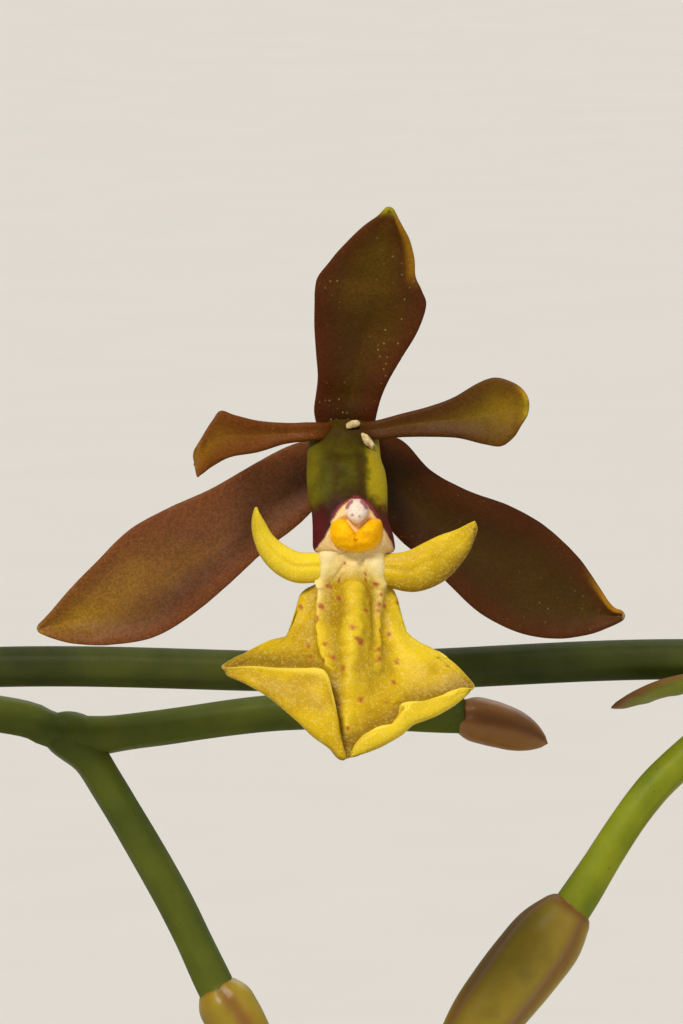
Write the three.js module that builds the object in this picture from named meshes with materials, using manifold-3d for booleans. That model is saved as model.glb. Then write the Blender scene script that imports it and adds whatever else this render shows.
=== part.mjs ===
// A potted orchid, Prosthechea concolor, in flower.
//
// A clay pot holds bark chips. A creeping rhizome lies on the bark and carries the pseudobulbs, with
// two strap leaves on top of each young one. The flower stem leaves the lead pseudobulb, arches over
// and runs level, with open blooms on its older part and buds towards its tip. Each bloom has three
// sepals, two spoon-shaped petals, a column with its anther cap, and a lip with two horn-like side
// lobes and a pleated skirt whose edge is turned up.
//
// Millimetres, +Z up. The origin is the centre of the pot's foot. The main bloom faces -Y.

import * as THREE from "three";
import { mergeVertices } from "three/addons/utils/BufferGeometryUtils.js";
import Module from "manifold-3d";

const wasm = await Module();
wasm.setup();

// Driving dimensions
const GAP = 0.3; // between two pieces that touch
const POT = { height: 84, rim: 50, rimHeight: 15, rimStep: 3.5, foot: 34, wall: 5, floor: 6, bevel: 1 };
const DRAIN = { count: 4, radius: 4, ring: 18 };
const BARK = { top: 72, dome: 3 };
const CHIP = { count: 22, long: 17, wide: 12, high: 7.5, uneven: [1.4, 1.2, 0.8], tip: 0.35, rise: 1.6 };
const RHIZOME = { radius: 3, level: 77 };
const ROOT = { count: 6, radius: 1.1, turn: 2.4, swerve: 0.3, reach: [9, 13], dive: 10, wallGap: 3.5 };
const LEAF = { width: 15, keel: 1.1, edge: 0.7, fold: 0.16, footFold: 0.75, footWidth: 0.3 };
const TEPAL = { keel: 0.75, edge: 0.6 }; // thickness along the middle and at the edge
const LIP_SHEET = 0.6;
const STEM = { foot: 1.35, level: 0.82, tip: 0.55, branch: 0.75, budStalk: 0.7, pedicel: 0.55, ovary: 0.8 };
const STEM_LEVEL_FROM = 0.6; // shares of the stem's length where it is level, and where it tapers
const STEM_TAPER_FROM = 0.8;
const BRACT = { foot: 0.72, belly: 0.9, tip: 0.1 }; // radii of a scale that clasps the stem
const GOLDEN_ANGLE = Math.PI * (3 - Math.sqrt(5));
const BLOOM_AT = new THREE.Vector3(26, -22, 258); // where the main bloom's sepals meet
const BLOOM_PITCH = THREE.MathUtils.degToRad(-6); // it looks up a little, at the eye that meets it

const COLOURS = {
  clay: 0xb5693f,
  bark: 0x5a3a24,
  rhizome: 0x8c8a5c,
  pseudobulb: 0x7d8f3c,
  leaf: 0x4f7428,
  stem: 0x5c6a1e,
  bud: 0x8f7d1c,
  tepal: 0x6b3c14,
  column: 0x7a7a18,
  anther: 0xf2ab0c,
  lip: 0xeec820,
};

// Points, curves and random numbers

const point = (x, y, z) => new THREE.Vector3(x, y, z);
const spline = (points) => new THREE.CatmullRomCurve3(points, false, "catmullrom");
const spread = (count) => Array.from({ length: count + 1 }, (_, i) => i / count);

function seeded(seed) {
  let state = seed;
  return (low, high) => {
    state = (state * 1664525 + 1013904223) % 4294967296;
    return low + ((high - low) * state) / 4294967296;
  };
}

// Solids from points

function signedVolume(positions, index) {
  const [a, b, c] = [point(), point(), point()];
  let sum = 0;
  for (let i = 0; i < index.length; i += 3) {
    a.fromArray(positions, index[i] * 3);
    b.fromArray(positions, index[i + 1] * 3);
    c.fromArray(positions, index[i + 2] * 3);
    sum += a.dot(b.cross(c)) / 6;
  }
  return sum;
}

// A closed geometry as a solid, with its faces turned outwards.
function solidOf(geometry) {
  const bare = new THREE.BufferGeometry();
  bare.setAttribute("position", geometry.getAttribute("position"));
  bare.setIndex(geometry.index);
  const merged = mergeVertices(bare, 1e-4);
  const vertProperties = merged.attributes.position.array;
  const triVerts = new Uint32Array(merged.index.array);
  if (signedVolume(vertProperties, triVerts) < 0) triVerts.reverse();
  return new wasm.Manifold(new wasm.Mesh({ numProp: 3, vertProperties, triVerts }));
}

function geometryOf(solid) {
  const { vertProperties, triVerts } = solid.getMesh();
  const geometry = new THREE.BufferGeometry();
  geometry.setAttribute("position", new THREE.BufferAttribute(vertProperties, 3));
  geometry.setIndex(new THREE.BufferAttribute(triVerts, 1));
  return geometry;
}

const join = (solids) => solids.reduce((whole, next) => whole.add(next));

// What is left of a solid clear of its neighbours, without the scraps that a cut can leave.
function clearOf(solid, ...neighbours) {
  const pieces = neighbours.reduce((left, next) => left.subtract(next), solid).decompose();
  return pieces.reduce((most, next) => (next.volume() > most.volume() ? next : most));
}

function solidFromPoints(points, faces) {
  const geometry = new THREE.BufferGeometry().setFromPoints(points);
  geometry.setIndex(faces.flat());
  return solidOf(geometry);
}

// A body skinned over closed rings of points, with a fan over each end.
function skin(rings) {
  const sides = rings[0].length;
  const points = rings.flat();
  const faces = [];
  for (let i = 0; i < rings.length - 1; i++)
    for (let j = 0; j < sides; j++) {
      const [a, b] = [i * sides + j, i * sides + ((j + 1) % sides)];
      faces.push([a, b, b + sides], [a, b + sides, a + sides]);
    }
  for (const [ring, start, turn] of [[rings[0], 0, 1], [rings.at(-1), points.length - sides, -1]]) {
    const middle = ring.reduce((sum, p) => sum.add(p), point(0, 0, 0)).divideScalar(sides);
    const centre = points.push(middle) - 1;
    for (let j = 0; j < sides; j++) {
      const [a, b] = [start + j, start + ((j + 1) % sides)];
      faces.push(turn > 0 ? [centre, b, a] : [centre, a, b]);
    }
  }
  return solidFromPoints(points, faces);
}

// A round bar along a curve. radiusAt gives its radius from 0 at the start to 1 at the end.
function bar(curve, radiusAt, sides, steps, grow = 0) {
  const frames = curve.computeFrenetFrames(steps, false);
  const rings = spread(steps).map((u, i) => {
    const middle = curve.getPointAt(u);
    return Array.from({ length: sides }, (_, j) => {
      const angle = (2 * Math.PI * j) / sides;
      const out = frames.normals[i].clone().multiplyScalar(Math.cos(angle));
      out.addScaledVector(frames.binormals[i], Math.sin(angle));
      return middle.clone().addScaledVector(out, radiusAt(u) + grow);
    });
  });
  return skin(rings);
}

// A grid of points over a patch whose rows run from one edge of a blade to the other.
function patch(rows, along, across) {
  const lines = rows.map((row) => spline(row));
  const columns = spread(across).map((u) => spline(lines.map((line) => line.getPoint(u))));
  return spread(along).map((v) => columns.map((column) => column.getPoint(v)));
}

// A blade with two faces: keel and edge are its thickness along the middle and at its edges.
function blade(grid, keel, edge, grow = 0) {
  const [along, across] = [grid.length - 1, grid[0].length - 1];
  const pick = (i, j) =>
    grid[THREE.MathUtils.clamp(i, 0, along)][THREE.MathUtils.clamp(j, 0, across)];
  const front = [];
  const back = [];
  for (let i = 0; i <= along; i++)
    for (let j = 0; j <= across; j++) {
      const lengthways = pick(i + 1, j).clone().sub(pick(i - 1, j)).normalize();
      const sideways = pick(i, j + 1).clone().sub(pick(i, j - 1)).normalize();
      const normal = lengthways.clone().cross(sideways).normalize();
      const middle = pick(i, j).clone();
      middle.addScaledVector(lengthways, grow * ((i === along) - (i === 0)));
      middle.addScaledVector(sideways, grow * ((j === across) - (j === 0)));
      const share = 1 - (2 * j / across - 1) ** 2;
      const half = (edge + (keel - edge) * share) / 2 + grow;
      front.push(middle.clone().addScaledVector(normal, half));
      back.push(middle.clone().addScaledVector(normal, -half));
    }
  const total = front.length;
  const at = (i, j) => i * (across + 1) + j;
  const faces = [];
  for (let i = 0; i < along; i++)
    for (let j = 0; j < across; j++) {
      const [a, b, c, d] = [at(i, j), at(i + 1, j), at(i + 1, j + 1), at(i, j + 1)];
      faces.push([a, b, c], [a, c, d]);
      faces.push([c + total, b + total, a + total], [d + total, c + total, a + total]);
    }
  const rim = [];
  for (let j = 0; j < across; j++) rim.push(at(0, j));
  for (let i = 0; i < along; i++) rim.push(at(i, across));
  for (let j = across; j > 0; j--) rim.push(at(along, j));
  for (let i = along; i > 0; i--) rim.push(at(i, 0));
  rim.forEach((a, k) => {
    const b = rim[(k + 1) % rim.length];
    faces.push([a, b, b + total], [a, b + total, a + total]);
  });
  return solidFromPoints([...front, ...back], faces);
}

// A solid turned about the vertical axis from [radius, height] pairs.
function turned(profile, sides) {
  const geometry = new THREE.LatheGeometry(profile.map(([r, z]) => new THREE.Vector2(r, z)), sides);
  geometry.rotateX(Math.PI / 2);
  return solidOf(geometry);
}

function ball(centre, radii, wide = 10, high = 8, grow = 0) {
  const geometry = new THREE.SphereGeometry(1, wide, high);
  geometry.scale(radii.x + grow, radii.y + grow, radii.z + grow);
  geometry.translate(centre.x, centre.y, centre.z);
  return solidOf(geometry);
}

// The plant's group

const plant = new THREE.Group();

function addPart(parent, name, solid, colour, roughness = 0.6) {
  const material = new THREE.MeshStandardMaterial({ color: colour, roughness, metalness: 0 });
  const mesh = new THREE.Mesh(geometryOf(solid), material);
  mesh.name = name;
  parent.add(mesh);
  return mesh;
}

// Pot

// The pot's radius outside, at a height below its rim band.
const potRadius = (z) =>
  POT.foot + ((POT.rim - POT.rimStep - POT.foot) * z) / (POT.height - POT.rimHeight);

function makePot() {
  const under = POT.height - POT.rimHeight;
  const { bevel } = POT;
  const profile = [
    [0, 0],
    [POT.foot - bevel, 0],
    [POT.foot, bevel],
    [potRadius(under), under],
    [POT.rim - bevel, under + bevel],
    [POT.rim, POT.height - 2 * bevel],
    [POT.rim - 1.5 * bevel, POT.height],
    [POT.rim - POT.wall + bevel, POT.height],
    [POT.rim - POT.wall, POT.height - 1.5 * bevel],
    [potRadius(under) - POT.wall, under],
    [potRadius(POT.floor) - POT.wall, POT.floor],
    [0, POT.floor],
  ];
  const body = turned(profile, 24);
  const holes = Array.from({ length: DRAIN.count }, (_, k) => {
    const angle = (2 * Math.PI * (k + 0.5)) / DRAIN.count;
    const hole = new THREE.CylinderGeometry(DRAIN.radius, DRAIN.radius, 3 * POT.floor, 12);
    hole.rotateX(Math.PI / 2);
    hole.translate(DRAIN.ring * Math.cos(angle), DRAIN.ring * Math.sin(angle), POT.floor / 2);
    return solidOf(hole);
  });
  return holes.reduce((left, hole) => left.subtract(hole), body);
}

// Rhizome, roots and pseudobulbs

// foot and top are the ends of each pseudobulb's axis, and girth its greatest radius.
const PSEUDOBULBS = [
  { foot: point(-19, 3, 77), top: point(-25, 6, 123), girth: 8.6 },
  { foot: point(-1, -9, 77), top: point(-4, -15, 119), girth: 8.2 },
  { foot: point(17, 3, 77), top: point(23, 4, 116), girth: 7.8 },
  { foot: point(1, 19, 77), top: point(2, 25, 114), girth: 7.6 },
  { foot: point(26, -14, 77), top: point(31, -19, 105), girth: 6.2 },
  { foot: point(-25, 24, 77), top: point(-31, 29, 104), girth: 7.2 },
];

// Shares of the greatest radius, from the foot to the top.
const BULB_SWELL = [0.42, 0.84, 1, 0.86, 0.63, 0.43, 0.32];

// A share that runs smoothly through evenly spaced values.
function swelling(values) {
  const profile = spline(values.map((share, i) => point(i / (values.length - 1), share, 0)));
  return (u) => profile.getPoint(u).y;
}

function makePseudobulb({ foot, top, girth }, grow = 0) {
  const line = new THREE.LineCurve3(foot, top);
  const swell = swelling(BULB_SWELL);
  return bar(line, (u) => girth * swell(u), 10, 7, grow);
}

const RHIZOME_PATH = [
  point(-28, 26, 75),
  point(-25, 22, 76),
  point(-22, 12, 76),
  point(-18, 2, 76),
  point(-2, -6, 76),
  point(14, -1, 76),
  point(26, -13, 76),
  point(30, -20, 75),
];
const SIDE_RHIZOME_PATH = [point(-1, -4, 76), point(1, 8, 76), point(1, 20, 76), point(2, 29, 74)];

// A point moved in towards the middle of the pot where it would come too near the wall.
function insidePot(p) {
  const room = potRadius(RHIZOME.level - ROOT.dive) - POT.wall - ROOT.wallGap;
  const share = Math.min(1, room / Math.hypot(p.x, p.y));
  return point(p.x * share, p.y * share, p.z);
}

function makeRhizome(grow = 0) {
  const main = spline(RHIZOME_PATH);
  const side = spline(SIDE_RHIZOME_PATH);
  const thick = () => RHIZOME.radius;
  const random = seeded(7);
  const roots = Array.from({ length: ROOT.count }, (_, k) => {
    const start = main.getPointAt(THREE.MathUtils.lerp(0.06, 0.94, k / (ROOT.count - 1)));
    const angle = k * ROOT.turn + random(-ROOT.swerve, ROOT.swerve);
    const out = point(Math.cos(angle), Math.sin(angle), 0);
    const reach = random(...ROOT.reach);
    const path = spline([
      start,
      start.clone().addScaledVector(out, 0.45 * reach).setZ(RHIZOME.level + 0.5 * RHIZOME.radius),
      insidePot(start.clone().addScaledVector(out, 0.8 * reach).setZ(RHIZOME.level - 0.2 * ROOT.dive)),
      insidePot(start.clone().addScaledVector(out, reach).setZ(RHIZOME.level - ROOT.dive)),
    ]);
    return bar(path, () => ROOT.radius, 5, 4, grow);
  });
  return join([bar(main, thick, 6, 13, grow), bar(side, thick, 6, 5, grow), ...roots]);
}

// Bark: a filling with loose chips on top

function makeChip(random) {
  const geometry = new THREE.BoxGeometry(
    CHIP.long * random(0.7, 1.15),
    CHIP.wide * random(0.7, 1.2),
    CHIP.high * random(0.7, 1.1),
  );
  const bare = new THREE.BufferGeometry();
  bare.setAttribute("position", geometry.getAttribute("position"));
  bare.setIndex(geometry.index);
  const chip = mergeVertices(bare, 1e-4);
  const corners = chip.attributes.position;
  for (let i = 0; i < corners.count; i++) {
    const [dx, dy, dz] = CHIP.uneven.map((most) => random(-most, most));
    corners.setXYZ(i, corners.getX(i) + dx, corners.getY(i) + dy, corners.getZ(i) + dz);
  }
  chip.rotateX(random(-CHIP.tip, CHIP.tip));
  chip.rotateY(random(-CHIP.tip, CHIP.tip));
  chip.rotateZ(random(0, Math.PI));
  return chip;
}

function makeBark() {
  const random = seeded(21);
  const inside = (z) => potRadius(z) - POT.wall - GAP - 0.2;
  const level = POT.height - POT.rimHeight;
  const edge = inside(level);
  const wall = [[0, POT.floor + GAP], [inside(POT.floor) - GAP, POT.floor + GAP], [edge, level]];
  const dome = [[edge, BARK.top], [0.55 * edge, BARK.top + 0.8 * BARK.dome], [0, BARK.top + BARK.dome]];
  const filling = turned([...wall, ...dome], 20);
  const room = turned([...wall, [edge, 2 * POT.height], [0, 2 * POT.height]], 20);
  const reach = edge - 0.35 * CHIP.long;
  const chips = Array.from({ length: CHIP.count }, (_, k) => {
    const radius = reach * Math.sqrt((k + 0.5) / CHIP.count);
    const angle = k * GOLDEN_ANGLE;
    const height = BARK.top + BARK.dome * (1 - (radius / reach) ** 2) + random(0, CHIP.rise);
    const chip = makeChip(random);
    chip.translate(radius * Math.cos(angle), radius * Math.sin(angle), height);
    return solidOf(chip);
  });
  return join([filling, ...chips]).intersect(room);
}

// Leaves

// A strap leaf that leaves its pseudobulb at a lean from the vertical and arches over by a bend.
function leafGrid({ at, azimuth, lean, bend, length, width = LEAF.width }, along, across) {
  const [heading, start, turn] = [azimuth, lean, bend].map(THREE.MathUtils.degToRad);
  const out = point(Math.cos(heading), Math.sin(heading), 0);
  const side = point(-Math.sin(heading), Math.cos(heading), 0);
  const middle = at.clone();
  const stations = spread(along).map((s) => s * (1.6 - 0.6 * s)); // closer together at the tip
  return stations.map((s, i) => {
    const tilt = start + turn * s ** 1.6;
    const forward = out.clone().multiplyScalar(Math.sin(tilt)).setZ(Math.cos(tilt));
    const upper = side.clone().cross(forward);
    if (i > 0) middle.addScaledVector(forward, length * (s - stations[i - 1]));
    // Narrow at the foot, as wide as a strap along the middle, and rounded at the tip.
    const strap = Math.min(1, LEAF.footWidth + 2.1 * s) * Math.sqrt(Math.max(0, 1 - s ** 3.4));
    const half = (width / 2) * Math.max(strap, 0.06);
    const fold = LEAF.footFold * (1 - s) ** 2 + LEAF.fold;
    return spread(across).map((u) => {
      const share = 2 * u - 1;
      const spot = middle.clone().addScaledVector(side, half * share * Math.cos(fold));
      return spot.addScaledVector(upper, -half * Math.abs(share) * Math.sin(fold));
    });
  });
}

const LEAVES = [
  { bulb: 0, shift: [-2.4, -1.6], azimuth: 214, lean: 24, bend: 44, length: 128 },
  { bulb: 0, shift: [-0.8, 2.6], azimuth: 112, lean: 16, bend: 50, length: 118 },
  { bulb: 1, shift: [-1.9, -0.6], azimuth: 236, lean: 32, bend: 62, length: 112 },
  { bulb: 1, shift: [1.9, 0.2], azimuth: 318, lean: 30, bend: 66, length: 104 },
  { bulb: 2, shift: [1.9, -0.8], azimuth: 338, lean: 22, bend: 60, length: 122 },
  { bulb: 2, shift: [-0.6, 2.0], azimuth: 76, lean: 16, bend: 48, length: 112 },
  { bulb: 3, shift: [1.8, 0.8], azimuth: 36, lean: 26, bend: 56, length: 116 },
  { bulb: 3, shift: [-1.8, 0.6], azimuth: 144, lean: 28, bend: 66, length: 108 },
  { bulb: 4, shift: [1.5, -0.8], azimuth: 300, lean: 30, bend: 58, length: 74, width: 12 },
  { bulb: 4, shift: [0.8, 1.6], azimuth: 8, lean: 40, bend: 46, length: 66, width: 11 },
];

function makeLeaf(leaf, grow = 0) {
  const { top } = PSEUDOBULBS[leaf.bulb];
  const [x, y] = leaf.shift;
  const at = point(top.x + x, top.y + y, top.z - 1);
  return blade(leafGrid({ ...leaf, at }, 9, 2), LEAF.keel, LEAF.edge, grow);
}

// Blooms. Each is drawn in its own frame, as the eye that faces it sees it: x to the right, z up and
// y away from the eye, with the sepals meeting at the origin. A row runs across a blade, from its
// left or upper edge to its right or lower edge, with [x, y, z] for each point.

const DORSAL_SEPAL = [
  [[-1.1, 0.5, -0.1], [0, 0.75, -0.1], [1.1, 0.5, -0.1]],
  [[-1.14, 0.1, 1.2], [0.1, 0.4, 1.2], [1.4, 0.1, 1.3]],
  [[-1.08, -0.6, 2.6], [0.4, -0.3, 2.6], [2.0, -0.6, 2.7]],
  [[-1.22, -1.3, 3.9], [0.85, -0.9, 3.9], [2.9, -1.2, 3.9]],
  [[-1.26, -1.9, 5.0], [1.0, -1.5, 5.0], [3.2, -1.6, 5.05]],
  [[-1.14, -2.4, 6.0], [1.05, -2.1, 6.0], [2.76, -2.3, 5.95]],
  [[-0.55, -3.0, 6.95], [1.25, -2.7, 6.9], [2.72, -2.9, 6.8]],
  [[0.3, -3.5, 7.8], [1.45, -3.3, 7.8], [2.42, -3.5, 7.7]],
  [[1.35, -4.2, 8.62], [1.66, -4.2, 8.7], [1.98, -4.2, 8.6]],
];

const LEFT_SEPAL = [
  [[-1.0, 0.5, -0.3], [-0.7, 0.9, -1.5], [-0.8, 0.6, -2.6]],
  [[-2.3, 0.7, -0.75], [-2.1, 1.1, -2.4], [-1.95, 0.8, -3.9]],
  [[-3.9, 0.9, -1.75], [-3.8, 1.4, -3.6], [-3.3, 1.0, -5.15]],
  [[-5.7, 1.2, -2.75], [-5.5, 1.8, -4.9], [-4.9, 1.4, -6.6]],
  [[-7.5, 1.5, -3.7], [-7.2, 2.2, -6.1], [-6.6, 1.8, -7.85]],
  [[-9.05, 1.9, -4.9], [-8.7, 2.5, -7.0], [-8.4, 2.1, -8.5]],
  [[-10.6, 2.3, -6.3], [-10.3, 2.8, -7.6], [-10.2, 2.4, -8.62]],
  [[-12.2, 2.6, -7.8], [-12.3, 2.8, -8.05], [-12.25, 2.6, -8.3]],
];

const RIGHT_SEPAL = [
  [[1.0, 0.5, -0.2], [0.8, 0.9, -1.5], [0.9, 0.6, -2.7]],
  [[2.4, 0.7, -0.75], [2.3, 1.1, -2.5], [2.15, 0.8, -4.05]],
  [[3.9, 0.9, -1.95], [3.8, 1.4, -3.7], [3.3, 1.0, -5.4]],
  [[5.7, 1.2, -2.65], [5.4, 1.8, -4.7], [4.7, 1.4, -6.65]],
  [[7.3, 1.5, -3.4], [6.8, 2.2, -5.6], [6.1, 1.8, -7.75]],
  [[8.7, 1.9, -4.75], [8.1, 2.5, -6.5], [7.6, 2.1, -8.35]],
  [[9.9, 2.3, -6.3], [9.5, 2.8, -7.2], [9.3, 2.4, -8.25]],
  [[11.1, 2.6, -7.15], [11.2, 2.8, -7.4], [11.1, 2.6, -7.65]],
];

const LEFT_PETAL = [
  [[-0.8, -0.3, 0.4], [-0.85, -0.2, 0.05], [-0.9, -0.3, -0.3]],
  [[-2.0, -0.6, 0.32], [-2.1, -0.5, -0.1], [-2.2, -0.6, -0.5]],
  [[-3.4, -1.0, 0.45], [-3.45, -0.8, -0.15], [-3.5, -1.0, -0.7]],
  [[-4.6, -1.3, 0.72], [-4.7, -1.1, -0.25], [-4.7, -1.5, -1.06]],
  [[-5.1, -1.3, 0.66], [-5.3, -1.4, -0.45], [-5.35, -2.0, -1.42]],
  [[-5.6, -1.4, 0.0], [-5.75, -1.7, -0.85], [-5.8, -2.3, -1.7]],
  [[-6.0, -1.7, -0.8], [-6.05, -1.9, -1.2], [-6.0, -2.4, -1.75]],
];

const RIGHT_PETAL = [
  [[0.9, -0.3, 0.3], [0.95, -0.2, -0.05], [1.0, -0.3, -0.4]],
  [[2.0, -0.6, 0.5], [2.05, -0.5, 0.08], [2.1, -0.6, -0.34]],
  [[3.2, -0.9, 0.8], [3.25, -0.7, 0.25], [3.3, -0.9, -0.28]],
  [[4.3, -1.2, 1.27], [4.4, -0.9, 0.45], [4.5, -1.2, -0.35]],
  [[5.4, -1.5, 1.9], [5.6, -1.1, 0.7], [5.8, -1.5, -0.62]],
  [[6.3, -1.8, 2.0], [6.4, -1.4, 0.8], [6.6, -1.8, -0.46]],
  [[7.15, -2.0, 1.4], [7.2, -1.9, 1.0], [7.2, -2.0, 0.5]],
];

// The skirt of the lip. Its outer points lie on the edge, which is turned up towards the eye.
const LIP_SKIRT = [
  [
    [-1.4, -2.2, -6.0], [-1.1, -2.6, -6.1], [-0.6, -3.0, -6.15], [0.2, -3.3, -6.2],
    [1.0, -3.0, -6.2], [1.5, -2.7, -6.2], [1.9, -2.4, -6.3],
  ],
  [
    [-2.0, -2.4, -7.2], [-1.7, -2.8, -7.3], [-0.9, -3.4, -7.4], [0.2, -4.0, -7.5],
    [1.1, -3.5, -7.5], [1.8, -3.0, -7.4], [2.15, -2.6, -7.3],
  ],
  [
    [-2.8, -3.0, -8.35], [-2.3, -3.3, -8.6], [-1.1, -3.9, -8.7], [0.15, -4.7, -8.9],
    [1.3, -4.2, -8.7], [2.3, -3.6, -8.5], [2.75, -3.2, -8.45],
  ],
  [
    [-4.2, -3.8, -9.0], [-3.5, -3.9, -9.4], [-1.6, -4.5, -9.8], [0.15, -5.3, -10.1],
    [1.6, -4.8, -9.9], [3.3, -4.3, -9.4], [4.0, -4.0, -9.05],
  ],
  [
    [-4.85, -4.6, -9.3], [-4.2, -4.7, -9.8], [-1.9, -5.0, -10.5], [0.1, -5.7, -11.0],
    [1.8, -5.2, -10.8], [4.2, -4.9, -10.3], [5.1, -4.8, -10.1],
  ],
  [
    [-2.6, -6.2, -9.4], [-2.9, -5.6, -10.6], [-1.2, -5.5, -11.1], [0.1, -6.0, -11.7],
    [1.6, -5.7, -11.5], [3.6, -5.6, -11.3], [3.9, -6.1, -10.6],
  ],
  [
    [-0.8, -7.0, -9.8], [-1.9, -6.3, -11.4], [-0.7, -6.0, -11.8], [0.1, -6.3, -12.3],
    [1.1, -6.1, -12.2], [2.5, -6.2, -11.8], [2.5, -6.7, -11.0],
  ],
  [
    [-0.3, -7.2, -11.1], [-0.9, -6.7, -12.1], [-0.3, -6.4, -12.4], [0.05, -6.6, -12.7],
    [0.5, -6.5, -12.6], [1.5, -6.6, -12.2], [1.7, -6.9, -11.7],
  ],
  [
    [-0.1, -7.1, -12.5], [-0.25, -6.9, -12.75], [-0.1, -6.8, -12.85], [0.0, -6.8, -12.95],
    [0.15, -6.8, -12.85], [0.35, -6.8, -12.65], [0.5, -6.9, -12.45],
  ],
];

const LEFT_HORN = [
  [[-0.6, -2.6, -4.95], [-0.6, -2.6, -5.6], [-0.6, -2.6, -6.2]],
  [[-1.75, -2.9, -4.75], [-1.8, -2.7, -5.5], [-1.8, -2.9, -6.12]],
  [[-2.5, -3.2, -4.3], [-2.7, -3.0, -5.1], [-2.8, -3.2, -5.75]],
  [[-3.0, -3.5, -3.85], [-3.25, -3.4, -4.5], [-3.5, -3.5, -5.0]],
  [[-3.35, -3.8, -3.4], [-3.5, -3.8, -3.75], [-3.72, -3.8, -4.1]],
  [[-3.5, -4.0, -3.1], [-3.62, -4.0, -3.2], [-3.7, -4.0, -3.3]],
];

const RIGHT_HORN = [
  [[1.0, -2.6, -4.95], [1.0, -2.6, -5.6], [1.0, -2.6, -6.2]],
  [[2.1, -2.9, -4.95], [2.1, -2.7, -5.8], [2.15, -2.9, -6.45]],
  [[3.2, -3.2, -4.5], [3.4, -3.0, -5.5], [3.55, -3.2, -6.2]],
  [[4.1, -3.5, -4.0], [4.35, -3.4, -4.9], [4.55, -3.5, -5.45]],
  [[4.75, -3.8, -3.72], [4.9, -3.8, -4.2], [5.1, -3.8, -4.4]],
  [[5.05, -4.0, -3.66], [5.15, -4.0, -3.75], [5.22, -4.0, -3.85]],
];

// Each ring of the column: its middle, then its half width and half depth.
const COLUMN = [
  [[0, 0.1, 0.4], 1.0, 0.7],
  [[0, -0.35, -0.3], 1.46, 0.9],
  [[0.06, -1.1, -1.6], 1.6, 1.05],
  [[0.1, -1.75, -2.6], 1.52, 1.15],
  [[0.24, -2.25, -3.4], 1.4, 1.15],
  [[0.3, -2.45, -4.1], 1.46, 1.0],
  [[0.36, -2.55, -4.85], 1.66, 0.8],
];
const ANTHER = { at: point(0.4, -3.2, -4.2), radii: point(1.1, 0.75, 0.82) };
const MID_TOOTH = { at: point(0.4, -3.35, -3.15), radii: point(0.42, 0.42, 0.42) };
const CALLUS = [
  [[-0.85, -2.7, -4.95], [0.25, -3.0, -5.15], [1.4, -2.8, -4.9]],
  [[-0.85, -3.0, -5.5], [0.25, -3.2, -5.6], [1.35, -3.0, -5.5]],
  [[-0.9, -3.0, -6.2], [0.2, -3.3, -6.3], [1.3, -3.0, -6.2]],
  [[-0.9, -3.2, -6.9], [0.2, -3.6, -7.0], [1.3, -3.3, -6.9]],
];

// The last of the flower stalk, in a bloom's frame, from behind it up to its sepals.
const OVARY = [point(0.5, 6.2, -2.6), point(0.3, 3.9, -0.3), point(0.1, 2.2, 0.4), point(0, 0.95, 0.3)];

// Where the five tepals of a bloom grow together.
const HEART = { at: point(0, 0.2, -0.1), radii: point(2, 1.2, 1.1) };

function makeOvary(grow) {
  return bar(spline(OVARY), () => STEM.ovary, 6, 5, grow);
}

// A bloom can be the mirror image of the main one, and its tepals can lean further back.
const MAIN_BLOOM = { flip: 1, back: 0 };

const rowsOf = (table, { flip, back }) =>
  table.map((row) => row.map(([x, y, z]) => point(flip * x, y + back * Math.hypot(x, z), z)));

function makeColumn(bloom, sides, grow = 0) {
  const rings = COLUMN.map(([[x, y, z], wide, deep]) =>
    Array.from({ length: sides }, (_, j) => {
      const angle = (2 * Math.PI * j) / sides;
      const across = (wide + grow) * Math.cos(angle);
      const depth = (deep + grow) * Math.sin(angle);
      return point(bloom.flip * x + across, y + depth, z);
    }),
  );
  rings[0].forEach((p) => (p.z += grow));
  rings.at(-1).forEach((p) => (p.z -= grow));
  return skin(rings);
}

const mirrored = (at, { flip }) => point(flip * at.x, at.y, at.z);

// How finely a bloom is cut: steps along and across a tepal, and sides of the column.
const FINE = { along: 10, across: 4, sides: 12 };
const PLAIN = { along: 4, across: 2, sides: 8 };

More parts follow.
